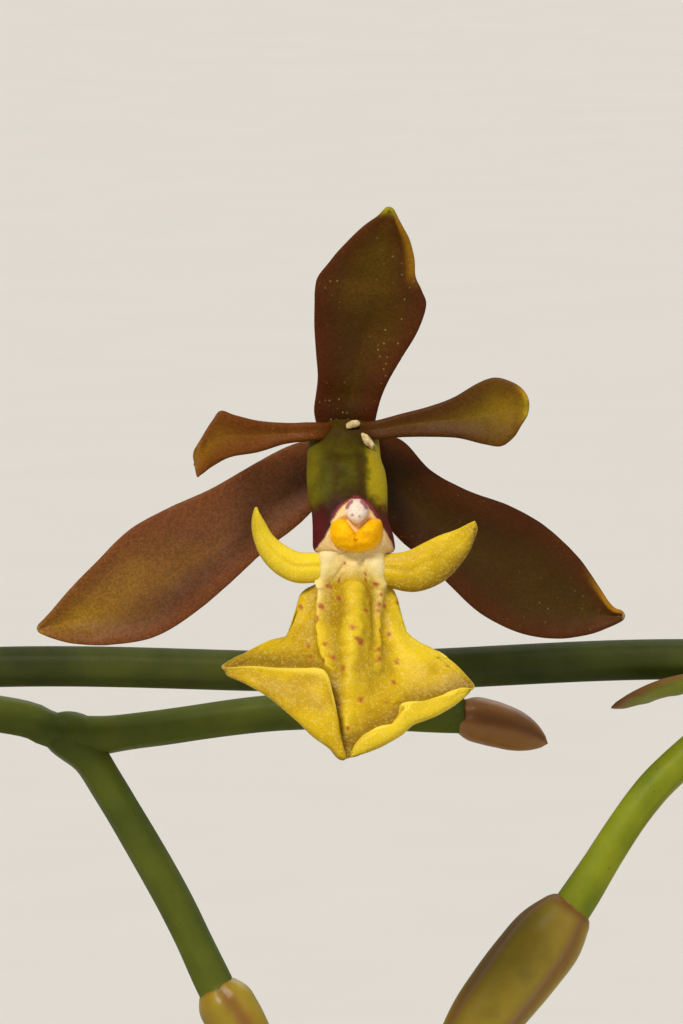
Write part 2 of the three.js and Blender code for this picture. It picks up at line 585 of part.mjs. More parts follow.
// The solids of one bloom, clear of each other and of the stalk that holds them.
function makeBloom(bloom, { along, across, sides }) {
  const tepal = (table, grow = 0, steps = along) =>
    blade(patch(rowsOf(table, bloom), steps, across), TEPAL.keel, TEPAL.edge, grow);
  const lipSheet = (table, steps, width, grow = 0) =>
    blade(patch(rowsOf(table, { ...bloom, back: 0 }), steps, width), LIP_SHEET, LIP_SHEET, grow);
  const ovary = makeOvary(GAP);
  const shell = makeColumn(bloom, sides);
  const fullColumn = makeColumn(bloom, sides, GAP);
  const antherAt = mirrored(ANTHER.at, bloom);
  const pocket = ball(antherAt, ANTHER.radii, sides, 6, GAP);
  const anther = ball(antherAt, ANTHER.radii, sides, 6);
  const tooth = ball(mirrored(MID_TOOTH.at, bloom), MID_TOOTH.radii, 6, 4);
  const column = clearOf(shell.subtract(pocket).add(tooth.subtract(pocket)), ovary);
  const lipOf = (grow) =>
    join([
      lipSheet(LIP_SKIRT, along + 3, 3 * across, grow),
      lipSheet(LEFT_HORN, Math.ceil(along / 2), 2, grow),
      lipSheet(RIGHT_HORN, Math.ceil(along / 2), 2, grow),
      lipSheet(CALLUS, 3, 2, grow),
    ]);
  const lip = clearOf(lipOf(0), fullColumn, pocket);
  const inFront = [fullColumn, lipOf(GAP), ovary];
  const petals = [LEFT_PETAL, RIGHT_PETAL].map((table) => clearOf(tepal(table), ...inFront));
  const petalRoom = [LEFT_PETAL, RIGHT_PETAL].map((table) => tepal(table, GAP));
  const sepals = [];
  for (const table of [DORSAL_SEPAL, LEFT_SEPAL, RIGHT_SEPAL]) {
    const room = sepals.map((other) => tepal(other.table, GAP));
    sepals.push({ table, solid: clearOf(tepal(table), ...inFront, ...petalRoom, ...room) });
  }
  return { column, anther, lip, petals, sepals: sepals.map((sepal) => sepal.solid) };
}

function bloomGroup(at, pitch, yaw) {
  const group = new THREE.Group();
  group.position.copy(at);
  group.rotation.set(pitch, 0, yaw, "ZYX");
  plant.add(group);
  group.updateMatrixWorld(true);
  return group;
}

const mainBloom = bloomGroup(BLOOM_AT, BLOOM_PITCH, 0);

function addMainBloom() {
  const { column, anther, lip, petals, sepals } = makeBloom(MAIN_BLOOM, FINE);
  const tepals = [...sepals, ...petals];
  const names = ["dorsal_sepal", "left_sepal", "right_sepal", "left_petal", "right_petal"];
  names.forEach((name, i) => addPart(mainBloom, `bloom_1_${name}`, tepals[i], COLOURS.tepal));
  addPart(mainBloom, "bloom_1_column", column, COLOURS.column);
  addPart(mainBloom, "bloom_1_anther_cap", anther, COLOURS.anther, 0.4);
  addPart(mainBloom, "bloom_1_lip", lip, COLOURS.lip);
}

// The other open blooms, each with its five tepals in one piece.
const BLOOMS = [
  { at: point(-46, -11, 234), foot: point(-36, -5, 224), pitch: 4, yaw: -65, flip: -1, back: 0.06 },
  { at: point(-16, -1, 251), foot: point(-20, -11, 241), pitch: -12, yaw: 168, flip: 1, back: 0.12 },
  { at: point(-7, -23, 256), foot: point(-4, -13, 247), pitch: 8, yaw: -24, flip: -1, back: -0.08 },
].map((bloom) => ({
  ...bloom,
  group: bloomGroup(bloom.at, ...[bloom.pitch, bloom.yaw].map(THREE.MathUtils.degToRad)),
}));

function addOtherBloom(bloom, number) {
  const { column, anther, lip, petals, sepals } = makeBloom(bloom, PLAIN);
  const middle = ball(HEART.at, HEART.radii, 8, 4);
  const around = [makeColumn(bloom, PLAIN.sides, GAP), makeOvary(GAP)];
  const tepals = clearOf(join([...sepals, ...petals, middle]), ...around);
  addPart(bloom.group, `bloom_${number}_tepals`, tepals, COLOURS.tepal);
  addPart(bloom.group, `bloom_${number}_column`, column, COLOURS.column);
  addPart(bloom.group, `bloom_${number}_anther_cap`, anther, COLOURS.anther, 0.4);
  addPart(bloom.group, `bloom_${number}_lip`, lip, COLOURS.lip);
}

// Flower stem, its side branch, the bloom and bud stalks, and the bracts at their feet

const near = (x, y, z) => mainBloom.localToWorld(point(x, y, z));

const STEM_PATH = [
  point(-25.4, 6.2, 123.6),
  point(-31, 7, 150),
  point(-37, 4, 185),
  point(-37, -3, 216),
  point(-25, -10, 238),
  point(-6, -13, 246.5),
  near(-14.1, 10, -9.6),
  near(0, 10, -9.8),
  near(13.8, 10, -9.3),
  point(55, -12, 247),
  point(71, -10, 241),
  point(82, -8, 231),
];
const BRANCH_PATH = [
  point(-10, -12.5, 245.5),
  near(-23, 13, -10.6),
  near(-14.2, 14, -11.6),
  near(-12.2, 14, -12.2),
  near(-10.7, 14, -12.7),
];

// The main bloom's stalk leaves the stem below the bloom and runs up behind it.
const MAIN_STALK = { foot: near(0.1, 10, -9.7), bend: near(0.2, 9, -6) };

// The stalks of the three buds near the main bloom, from the stem or the branch to the bud.
const NEAR_STALKS = [
  [near(-10.9, 14, -12.6), near(-8, 14, -12.2), near(-2.3, 14, -11.5), near(4.5, 14, -11.6)],
  [near(-10.7, 14, -12.7), near(-9.7, 14, -14.7), near(-7.2, 14, -19), near(-5.4, 14, -22.7)],
  [near(15.6, 10, -9.3), near(16.4, 9.2, -10.9), near(12.4, 8, -14.6), near(9.3, 8, -19.2)],
];
const NEAR_BUDS = [
  { points: [near(4.8, 14, -11.7), near(6.4, 14, -12.1), near(8.3, 14, -12.8)], girth: 0.95 },
  { points: [near(-5.2, 14, -23), near(-4.3, 14, -24.6), near(-3.2, 14, -26.4)], girth: 1.2 },
  { points: [near(9.1, 8, -19.5), near(6.5, 8, -22.7), near(3.5, 8, -26.6)], girth: 1.55 },
];

// The buds towards the stem's tip: the place on the stem, the way the stalk points and its length.
const TIP_BUDS = [
  { along: 0.855, way: point(0.45, -0.75, 0.35), stalk: 9, length: 8.6, girth: 1.5 },
  { along: 0.9, way: point(0.5, 0.7, 0.45), stalk: 8, length: 7.6, girth: 1.4 },
  { along: 0.935, way: point(0.75, -0.6, 0.15), stalk: 6.5, length: 6.6, girth: 1.2 },
  { along: 0.965, way: point(0.6, 0.7, 0.1), stalk: 5, length: 5.6, girth: 1.05 },
  { along: 0.995, way: point(0.75, -0.1, -0.65), stalk: 3, length: 4.6, girth: 0.9 },
];

// Each bract's place along the stem and its length.
const BRACTS = [[0.18, 9], [0.38, 8], [0.49, 5], [0.56, 4.5], [0.64, 4], [0.79, 4]];

const stemRadius = (u) =>
  u < STEM_LEVEL_FROM
    ? THREE.MathUtils.lerp(STEM.foot, STEM.level, u / STEM_LEVEL_FROM)
    : THREE.MathUtils.mapLinear(Math.max(u, STEM_TAPER_FROM), STEM_TAPER_FROM, 1, STEM.level, STEM.tip);

// A stalk from the stem up the back of a bloom.
function bloomStalk(group, foot, bend) {
  const [low, ...upper] = OVARY.map((p) => group.localToWorld(p.clone()));
  const path = spline([foot, ...(bend ? [bend] : []), low, ...upper]);
  return bar(path, (u) => THREE.MathUtils.lerp(STEM.pedicel, STEM.ovary, u), 6, 6);
}

// A pointed scale that leaves the stem at its foot.
function bract(foot, way, length) {
  const tip = foot.clone().addScaledVector(way, length);
  const line = new THREE.LineCurve3(foot, tip);
  const radiusAt = (u) => BRACT.foot * (1 - u) ** 0.6 + BRACT.belly * u * (1 - u) + BRACT.tip;
  return bar(line, radiusAt, 5, 3);
}

// The point of a curve that is nearest to another point.
function nearestOn(curve, target) {
  const points = curve.getSpacedPoints(200);
  return points.reduce((best, p) => (p.distanceTo(target) < best.distanceTo(target) ? p : best));
}

function tipStalk(stem, { along, way, stalk }) {
  const foot = stem.getPointAt(along);
  const tip = foot.clone().addScaledVector(way.clone().normalize(), stalk);
  const bow = point(0.05, 0, 0.1).multiplyScalar(stalk);
  const bend = foot.clone().lerp(tip, 0.5).add(bow);
  return [foot, bend, tip];
}

function makeFlowerStem() {
  const stem = spline(STEM_PATH);
  const branch = spline(BRANCH_PATH);
  const stalks = BLOOMS.map((bloom) => bloomStalk(bloom.group, nearestOn(stem, bloom.foot)));
  stalks.push(bloomStalk(mainBloom, MAIN_STALK.foot, MAIN_STALK.bend));
  for (const points of NEAR_STALKS) stalks.push(bar(spline(points), () => STEM.budStalk, 5, 4));
  for (const bud of TIP_BUDS)
    stalks.push(bar(spline(tipStalk(stem, bud)), () => STEM.pedicel, 5, 3));
  const scales = BRACTS.map(([u, length]) => {
    const way = stem.getTangentAt(u).add(point(0, -0.1, -0.14)).normalize();
    return bract(stem.getPointAt(u), way, length);
  });
  return join([
    bar(stem, stemRadius, 6, 30),
    bar(branch, () => STEM.branch, 5, 5),
    ...stalks,
    ...scales,
  ]);
}

// Shares of a bud's greatest radius, from its stalk to its tip.
const BUD_SWELL = [0.6, 0.95, 1, 0.97, 0.88, 0.62, 0.14];

function makeBud({ points, girth }) {
  const swell = swelling(BUD_SWELL);
  return bar(spline(points), (u) => girth * swell(u), 7, 6);
}

function tipBud(stem, bud) {
  const [, bend, tip] = tipStalk(stem, bud);
  const way = tip.clone().sub(bend).normalize();
  const start = tip.clone().addScaledVector(way, GAP);
  const middle = start.clone().addScaledVector(way, bud.length / 2);
  const end = start.clone().addScaledVector(way, bud.length).add(point(0, 0, -0.5));
  return { points: [start, middle, end], girth: bud.girth };
}

// The whole plant, each piece made clear of those that it touches

function addPlant() {
  const rhizomeRoom = makeRhizome(GAP);
  const bulbs = PSEUDOBULBS.map((bulb) => clearOf(makePseudobulb(bulb), rhizomeRoom));
  const bulbRoom = PSEUDOBULBS.map((bulb) => makePseudobulb(bulb, GAP));
  addPart(plant, "pot", makePot(), COLOURS.clay, 0.9);
  addPart(plant, "bark_mix", clearOf(makeBark(), rhizomeRoom, ...bulbRoom), COLOURS.bark, 0.95);
  addPart(plant, "rhizome_with_roots", makeRhizome(), COLOURS.rhizome, 0.8);
  bulbs.forEach((bulb, i) => addPart(plant, `pseudobulb_${i + 1}`, bulb, COLOURS.pseudobulb));
  const stem = makeFlowerStem();
  const stemFoot = bar(spline(STEM_PATH.slice(0, 3)), () => STEM.foot, 8, 6, GAP);
  const leafRoom = [];
  LEAVES.forEach((leaf, i) => {
    const solid = clearOf(makeLeaf(leaf), bulbRoom[leaf.bulb], stemFoot, ...leafRoom);
    addPart(plant, `leaf_${i + 1}`, solid, COLOURS.leaf, 0.45);
    leafRoom.push(makeLeaf(leaf, GAP));
  });
  addPart(plant, "flower_stem", stem, COLOURS.stem);
  const buds = [...NEAR_BUDS, ...TIP_BUDS.map((bud) => tipBud(spline(STEM_PATH), bud))];
  buds.forEach((bud, i) => addPart(plant, `bud_${i + 1}`, makeBud(bud), COLOURS.bud));
  addMainBloom();
  BLOOMS.forEach((bloom, i) => addOtherBloom(bloom, i + 2));
}

addPlant();

export default plant;
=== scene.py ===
# %% [markdown]
# # A small orchid in its clay pot
#
# Prosthechea concolor is a little epiphyte from Mexico's oak woods. Its blooms are only as wide as a
# coin, and the view of this scene comes so close to one of them that the cells of its skin matter.
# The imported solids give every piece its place. Here each of them gets its real surface.
#
# The whole script works in the solids' own frame, in metres: +Z is up, and the main bloom faces -Y.

# %% The solids that everything is built around
import math
import random

import bmesh
import bpy
import numpy as np
from mathutils import Matrix, Vector


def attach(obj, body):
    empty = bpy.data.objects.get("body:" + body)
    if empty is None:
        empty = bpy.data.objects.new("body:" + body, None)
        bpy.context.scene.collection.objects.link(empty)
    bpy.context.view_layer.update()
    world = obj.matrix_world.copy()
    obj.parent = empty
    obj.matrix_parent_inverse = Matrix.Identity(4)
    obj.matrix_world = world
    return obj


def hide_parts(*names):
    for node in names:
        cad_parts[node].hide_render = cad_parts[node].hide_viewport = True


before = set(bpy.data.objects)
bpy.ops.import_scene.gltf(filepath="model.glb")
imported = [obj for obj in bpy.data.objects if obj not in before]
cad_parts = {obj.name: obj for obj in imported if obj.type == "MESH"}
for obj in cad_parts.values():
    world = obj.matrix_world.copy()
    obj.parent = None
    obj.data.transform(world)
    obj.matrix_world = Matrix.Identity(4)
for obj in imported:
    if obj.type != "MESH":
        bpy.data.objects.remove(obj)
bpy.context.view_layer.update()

# %% [markdown]
# Plants are measured in millimetres, so all shapes are worked out in millimetres and only turned to
# metres when a mesh is made. Random draws come from seeded generators, so each run is the same.

# %% Units and smooth curves
MM = 0.001


def smooth_path(knots, count):
    """Points along a smooth curve through the knots, which may be whole rows of points."""
    knots = np.asarray(knots, float)
    ends = [2 * knots[:1] - knots[1:2]], [2 * knots[-1:] - knots[-2:-1]]
    knots = np.concatenate([*ends[0], knots, *ends[1]])
    place = np.linspace(0, len(knots) - 3, count)
    low = np.minimum(place.astype(int), len(knots) - 4)
    w = (place - low).reshape(-1, *[1] * (knots.ndim - 1))
    a, b, c, d = (knots[low + i] for i in range(4))
    return b + 0.5 * w * (c - a + w * (2 * a - 5 * b + 4 * c - d + w * (3 * (b - c) + d - a)))


def smooth_patch(rows, along, across):
    """A grid of points over a patch whose rows run from one edge of a blade to the other."""
    rows = np.asarray(rows, float)
    lines = smooth_path(np.swapaxes(rows, 0, 1), across)
    return smooth_path(np.swapaxes(lines, 0, 1), along)


def unit(vectors):
    return vectors / np.maximum(np.linalg.norm(vectors, axis=-1, keepdims=True), 1e-12)


def ripples(points, size, seed, waves=14):
    """Soft, uneven swells from -1 to 1, about `size` millimetres across."""
    draw = np.random.default_rng(seed)
    way = unit(draw.normal(size=(waves, 3))) * (2 * math.pi / size) * draw.uniform(0.6, 1.5, (waves, 1))
    return np.sin(points @ way.T + draw.uniform(0, 2 * math.pi, waves)).sum(-1) / math.sqrt(waves)


def hump(distance, width):
    """1 at no distance, and falling to 0 over about twice the width."""
    return np.exp(-((distance / width) ** 2))


def ease(share):
    """0 below 0, 1 above 1, and smooth between."""
    share = np.clip(share, 0, 1)
    return share * share * (3 - 2 * share)


print("a curve through three knots:", smooth_path([[0, 0, 0], [1, 1, 0], [2, 0, 0]], 5)[1].round(3))

# %% [markdown]
# A mesh in Blender is a list of points and a list of faces. One helper makes an object from both,
# smooths its shading, hangs it on the plant's one body and says which solids it stands for. Values
# that a material needs later, such as how far along a petal a point lies, are kept as attributes.

# %% Objects from points and faces
scene = bpy.context.scene


def add_piece(name, points, faces, material, slot, stands_for=(), values=None, move=None):
    mesh = bpy.data.meshes.new(name)
    points = np.asarray(points, float).reshape(-1, 3) * MM
    mesh.from_pydata(points.tolist(), [], [list(map(int, face)) for face in faces])
    for key, numbers in (values or {}).items():
        layer = mesh.attributes.new(key, "FLOAT", "POINT")
        layer.data.foreach_set("value", np.asarray(numbers, np.float32).ravel())
    mesh.shade_smooth()
    if move is not None:
        mesh.transform(Matrix.Translation(move.translation * MM) @ move.to_3x3().to_4x4())
    mesh.materials.append(material)
    piece = bpy.data.objects.new(name, mesh)
    scene.collection.objects.link(piece)
    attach(piece, "root")
    if stands_for:
        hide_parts(*stands_for)
    return piece


def grid_faces(index):
    """Quads over a grid of point numbers."""
    corners = index[:-1, :-1], index[1:, :-1], index[1:, 1:], index[:-1, 1:]
    return np.stack(corners, -1).reshape(-1, 4)


print("a grid of 3 by 3 points has", len(grid_faces(np.arange(9).reshape(3, 3))), "faces")


# %% [markdown]
# Petals, leaves and lips are all blades: a middle surface with a little flesh on both sides that
# thins out to a rounded edge. The front and the back share the points of the rim, so that the blade
# is closed. The front is the side that looks towards `face`.

# %% Blades
def crowded(count):
    """Places from -1 to 1 that crowd towards both ends, where a blade's edge rounds over."""
    return np.sin(np.linspace(-0.5 * math.pi, 0.5 * math.pi, count))


def sheet_normals(middle, face):
    normals = unit(np.cross(np.gradient(middle, axis=0), np.gradient(middle, axis=1)))
    return normals if (normals @ np.asarray(face)).mean() > 0 else -normals


def resampled(grid):
    """The same patch with its columns crowded towards the edges."""
    wanted = (crowded(grid.shape[1]) + 1) / 2 * (grid.shape[1] - 1)
    low = np.minimum(wanted.astype(int), grid.shape[1] - 2)
    share = (wanted - low)[None, :, None]
    return grid[:, low] * (1 - share) + grid[:, low + 1] * share


def swayed(middle, lift, face=(0, -1, 0)):
    """The middle surface moved towards its front by lift, in millimetres."""
    return middle + sheet_normals(middle, face) * np.asarray(lift)[..., None]


def blade(middle, thickness, relief=0.0, face=(0, -1, 0)):
    """Points and faces of a closed blade. The relief, in millimetres, is on the front alone."""
    rows, columns = middle.shape[:2]
    across = crowded(columns)[None, :]
    along = np.linspace(0, 1, rows)[:, None]
    end = np.clip((1 - along) / 0.05, 0, 1)
    round_rim = (1 - across**6) ** 0.5 * (1 - (1 - end) ** 2) ** 0.5
    half = 0.5 * thickness * round_rim
    normals = sheet_normals(middle, face)
    top = middle + normals * (half + relief * ease(2 * round_rim))[..., None]
    bottom = middle - normals * half[..., None]
    index = np.arange(rows * columns).reshape(rows, columns)
    other = index.copy()
    other[1:-1, 1:-1] = rows * columns + np.arange((rows - 2) * (columns - 2)).reshape(rows - 2, -1)
    points = np.concatenate([top.reshape(-1, 3), bottom[1:-1, 1:-1].reshape(-1, 3)])
    quads = grid_faces(index)
    first = points[quads[len(quads) // 2]]
    turn = np.cross(first[1] - first[0], first[2] - first[0]) @ np.asarray(face)
    under = grid_faces(other)
    faces = np.concatenate([quads, under[:, ::-1]] if turn > 0 else [quads[:, ::-1], under])
    return points, faces


def on_blade(values):
    """A value for each point of a blade, from a grid of values over its middle surface."""
    return np.concatenate([values.ravel(), values[1:-1, 1:-1].ravel()])


print("a blade of 5 by 5 points has", len(blade(smooth_patch(np.eye(3)[None].repeat(3, 0), 5, 5), 1)[0]))

# %% [markdown]
# Stems, roots, bulbs and buds are round bodies drawn along a path. Each ring is turned with the path
# by carrying one sideways direction from ring to ring, which keeps the body from twisting.

# %% Round bodies along a path
def even_path(knots, count):
    """Points at equal distances along the smooth curve through the knots."""
    fine = smooth_path(knots, 12 * count)
    length = np.concatenate([[0], np.cumsum(np.linalg.norm(np.diff(fine, axis=0), axis=1))])
    wanted = np.linspace(0, length[-1], count)
    return np.stack([np.interp(wanted, length, fine[:, i]) for i in range(3)], -1)


def rings_along(path, radii, sides, shape=None):
    """Rings of points along a path. shape may scale each ring's radius by its angles."""
    path = np.asarray(path, float)
    forward = unit(np.gradient(path, axis=0))
    side = unit(np.cross(forward[0], [0.3, 0.2, 0.9] if abs(forward[0][2]) < 0.9 else [1, 0, 0]))
    angles = np.linspace(0, 2 * math.pi, sides, endpoint=False)
    rings = []
    for i, centre in enumerate(path):
        side = unit(side - forward[i] * (side @ forward[i]))
        up = np.cross(forward[i], side)
        reach = np.full(sides, radii[i]) if shape is None else radii[i] * shape(i / (len(path) - 1), angles)
        outwards = np.cos(angles)[:, None] * side + np.sin(angles)[:, None] * up
        rings.append(centre + reach[:, None] * outwards)
    return np.array(rings)


def round_body(rings):
    """Points and faces of a body skinned over closed rings, with both ends shut."""
    count, sides = rings.shape[:2]
    index = np.arange(count * sides).reshape(count, sides)
    quads = grid_faces(np.concatenate([index, index[:, :1]], 1))
    points = np.concatenate([rings.reshape(-1, 3), [rings[0].mean(0)], [rings[-1].mean(0)]])
    start, end = count * sides, count * sides + 1
    faces = quads[:, ::-1].tolist()
    for j in range(sides):
        k = (j + 1) % sides
        faces.append([start, index[0, k], index[0, j]][::-1])
        faces.append([end, index[-1, j], index[-1, k]][::-1])
    return points, faces


def turned_over(points, faces):
    """The same body with its faces looking the other way."""
    return points, [list(face)[::-1] for face in faces]


def ball_body(rows, sides, shape):
    """A ball whose points, given on a unit ball, are moved by shape."""
    polar = np.linspace(0.02, math.pi - 0.02, rows)[:, None]
    angles = np.linspace(0, 2 * math.pi, sides, endpoint=False)[None, :]
    x, y, z = np.sin(polar) * np.cos(angles), np.sin(polar) * np.sin(angles), np.cos(polar) + 0 * angles
    return turned_over(*round_body(np.stack(shape(x, y, z), -1)))


def put_together(parts):
    """Several bodies as one list of points and one of faces."""
    points, faces, start = [], [], 0
    for some_points, some_faces in parts:
        points.append(some_points)
        faces.extend([[corner + start for corner in face] for face in some_faces])
        start += len(some_points)
    return np.concatenate(points), faces


short_stem = rings_along([[0, 0, 0], [0, 0, 1], [0, 0, 2]], [1, 1, 1], 8)
print("a short stem has", len(round_body(short_stem)[0]), "points")

# %% [markdown]
# Colours are written as sRGB hex values, as a paint chart gives them, and Blender's shaders want
# linear light, so one function turns them. Another adds a shader node with its settings and links
# and hands back the output that is wanted. A node's inputs are named or come in their order, and
# each is a number, a hex colour or another node's output. A pattern is sized by the length of its
# repeat on the real thing.

# %% Colours and shader nodes
def linear(code):
    """An sRGB hex value as linear light."""
    parts = [int(code[i : i + 2], 16) / 255 for i in (1, 3, 5)]
    return (*[c / 12.92 if c <= 0.04045 else ((c + 0.055) / 1.055) ** 2.4 for c in parts], 1)


def plug_in(material, node, inputs):
    pairs = inputs.items() if isinstance(inputs, dict) else enumerate(inputs)
    for key, value in pairs:
        if isinstance(value, bpy.types.NodeSocket):
            material.node_tree.links.new(value, node.inputs[key])
        else:
            node.inputs[key].default_value = linear(value) if isinstance(value, str) else value


def add_node(material, kind, inputs=(), output=0, **settings):
    node = material.node_tree.nodes.new("ShaderNode" + kind)
    for key, value in settings.items():
        setattr(node, key, value)
    plug_in(material, node, inputs)
    return node.outputs[output]


def new_material(name):
    """A material with its shader, and the place of each point on the object, in metres."""
    material = bpy.data.materials.new(name)
    material.use_nodes = True
    return material, add_node(material, "TexCoord", output="Object")


def finish(material, inputs):
    """Fills the sockets of the material's own shader."""
    plug_in(material, material.node_tree.nodes["Principled BSDF"], inputs)
    return material


def per_mm(size):
    """The texture scale that makes a pattern repeat every `size` millimetres."""
    return 1 / (size * MM)


# A mix of two colours has its share in socket 0 and the colours in 6 and 7, and gives them at 2.
COLOURS = dict(output=2, data_type="RGBA")
SMOOTH = dict(interpolation_type="SMOOTHSTEP")
TIMES = dict(operation="MULTIPLY")
print("clay in linear light:", [round(c, 3) for c in linear("#b5693f")])

# %% [markdown]
# ## The view
#
# The eye is level with the flower stem and half a metre away, with a long lens, as a macro
# photographer stands. The bloom's own frame is as this eye sees it: x to the right, z up, y away.
# The long side of the frame takes in 41 mm at the bloom.

# %% The main bloom's place and the camera
BLOOM_AT = Vector((26, -22, 258))
BLOOM_PITCH = -6
EYE_DISTANCE = 500
VIEW_HEIGHT = 40.96
VIEW_CENTRE = (-0.18, 0, -3.28)
SENSOR = 36


def bloom_place(at, pitch, yaw):
    turn = Matrix.Rotation(math.radians(yaw), 4, "Z") @ Matrix.Rotation(math.radians(pitch), 4, "X")
    return Matrix.Translation(at) @ turn


main_place = bloom_place(BLOOM_AT, BLOOM_PITCH, 0)


def near(x, y, z):
    """A point given in the main bloom's frame, in the plant's."""
    return tuple(main_place @ Vector((x, y, z)))


camera = bpy.data.objects.new("camera", bpy.data.cameras.new("camera"))
camera.data.sensor_width = SENSOR
camera.data.lens = SENSOR * EYE_DISTANCE / VIEW_HEIGHT
camera.data.clip_start = 0.05
camera.data.clip_end = 60
eye = main_place @ (Vector(VIEW_CENTRE) + Vector((0, -EYE_DISTANCE, 0)))
camera.location = eye * MM
camera.rotation_euler = (math.radians(90 + BLOOM_PITCH), 0, 0)
scene.collection.objects.link(camera)
scene.camera = camera
print("lens:", round(camera.data.lens), "mm, eye at", [round(v) for v in eye])

# %% [markdown]
# The light is a plain studio's: one large soft lamp from the upper left, a weaker one from the right,
# and a pale room around them. The lamps are suns with a soft disc, so the far floor is lit as evenly
# as the pot. A macro view needs a clear main light, or the skin's grain would not show.

# %% Lights
def add_sun(name, strength, from_side, height, softness, colour):
    sun = bpy.data.objects.new(name, bpy.data.lights.new(name, "SUN"))
    sun.data.energy = strength
    sun.data.angle = math.radians(softness)
    sun.data.color = linear(colour)[:3]
    sun.rotation_euler = (math.radians(90 - height), 0, math.radians(from_side))
    scene.collection.objects.link(sun)


add_sun("main_light", 2.6, -30, 46, 16, "#fff8ec")
add_sun("fill_light", 0.45, 50, 30, 50, "#f4f5ff")
add_sun("back_light", 0.6, 160, 40, 40, "#ffffff")

world = bpy.data.worlds.new("studio")
world.use_nodes = True
room = world.node_tree.nodes["Background"]
room.inputs["Color"].default_value = linear("#f1f0ed")
room.inputs["Strength"].default_value = 0.36
scene.world = world
scene.view_settings.view_transform = "Standard"
print("lights:", [light.name for light in bpy.data.lights])

# %% [markdown]
# The floor is seamless paper, as wide as a hall, so that its edge is never near the view. Paper is
# matte and uneven only by its faint fibre clouds.

# %% Floor
FLOOR_REACH = 14
paper, place = new_material("seamless_paper")
fibres = add_node(paper, "TexNoise", {"Vector": place, "Scale": per_mm(40), "Detail": 3})
paper_tone = add_node(paper, "Mix", {0: fibres, 6: "#d5d3ce", 7: "#d9d7d2"}, **COLOURS)
finish(paper, {"Base Color": paper_tone, "Roughness": 0.9, "IOR": 1.5, "Specular IOR Level": 0.2})
floor_mesh = bpy.data.meshes.new("floor")
corners = [(x * FLOOR_REACH, y * FLOOR_REACH, 0) for x, y in ((-1, -1), (1, -1), (1, 1), (-1, 1))]
floor_mesh.from_pydata(corners, [], [(0, 1, 2, 3)])
floor_mesh.materials.append(paper)
floor = bpy.data.objects.new("floor", floor_mesh)
scene.collection.objects.link(floor)
print("floor:", 2 * FLOOR_REACH, "m wide")

# %% [markdown]
# ## The tepals
#
# The sepals and petals are waxy flesh, grown and not made: red-brown sap in the outer cells over a
# yellow ground, under a thin coat of wax. The sap is thinner along the middle and towards the tips,
# so the brown turns olive there. Wax and water give a refractive index of about 1.45 and a soft,
# broad gloss. The outer cells are domed and each a little lighter or darker than the next, which the
# eye reads as a fine grain. Dust from the bark settles here and there.

# %% Tepal skin
CELL = 0.075  # millimetres across a cell: twice the real width, as a true one is under a pixel
DUST = 0.26  # millimetres between places where a speck may lie


def tepal_skin(name, brown, olive, rim, tip, deep, grain, dusty):
    """Waxy petal flesh in five tones, one a painted shade. grain is how far one cell's tone is from the next.
    """
    skin, place = new_material(name)
    at = {key: add_node(skin, "Attribute", output="Fac", attribute_name=key) for key in TEPAL_VALUES}
    clouds = add_node(skin, "TexNoise", {"Vector": place, "Scale": per_mm(2.6), "Detail": 3})
    drift = add_node(skin, "MapRange", [clouds, 0.3, 0.7, -0.2, 0.2])
    olive_share = add_node(skin, "Math", [at["olive"], drift], operation="ADD")
    dust_cell = {"Vector": place, "Scale": per_mm(DUST)}
    speck = add_node(skin, "TexVoronoi", dust_cell, output="Distance")
    speck = add_node(skin, "MapRange", [speck, 0.05, 0.2, 1, 0])
    chance = add_node(skin, "TexVoronoi", dust_cell, output="Color")
    chance = add_node(skin, "SeparateColor", [chance], output="Blue")
    chance = add_node(skin, "MapRange", [chance, 0.4, 1, 0, dusty])
    swarm = add_node(skin, "MapRange", [clouds, 0.44, 0.54, 0, 1], **SMOOTH)
    dust = add_node(skin, "Math", [add_node(skin, "Math", [speck, chance], **TIMES), swarm], **TIMES)
    rim_share = add_node(skin, "MapRange", [at["rim"], 0.0, 1.3, 0.6, 0], **SMOOTH)
    tone = brown
    layers = (
        # The deep tone is painted shade, at each tepal's foot and under the middle of the left sepal's lower
        # half.
        (olive_share, olive), (at["deep"], deep), (rim_share, rim), (at["gold"], "#a8760e"), (at["tip"], tip)
    )
    for share, colour in layers:
        tone = add_node(skin, "Mix", {0: share, 6: tone, 7: colour}, **COLOURS)
    cells = {"Vector": place, "Scale": per_mm(CELL)}
    one_cell = add_node(skin, "TexVoronoi", cells, output="Color")
    one_cell = add_node(skin, "SeparateColor", [one_cell])
    light = add_node(skin, "MapRange", [one_cell, 0, 1, 1 - grain, 1 + grain])
    tone = add_node(skin, "VectorMath", {0: tone, "Scale": light}, operation="SCALE")
    tone = add_node(skin, "Mix", {0: dust, 6: tone, 7: "#b49a64"}, **COLOURS)
    dome = add_node(skin, "TexVoronoi", cells, output="Distance")
    dome = add_node(skin, "MapRange", [dome, 0, 0.7, 1, 0])
    swell = add_node(skin, "TexNoise", {"Vector": place, "Scale": per_mm(0.5), "Detail": 3})
    facing = add_node(skin, "NewGeometry", output="Normal")
    for height, depth in ((swell, 0.02), (dome, 0.006), (dust, 0.02)):
        facing = add_node(skin, "Bump", {"Height": height, "Distance": depth * MM, "Normal": facing})
    return finish(skin, {
        "Base Color": tone,
        "Roughness": 0.5,
        "IOR": 1.45,
        "Specular IOR Level": 0.14,
        "Normal": facing,
        "Subsurface Weight": 0.08,
        "Subsurface Radius": (1.0, 0.4, 0.1),
        "Subsurface Scale": 0.0004,
    })


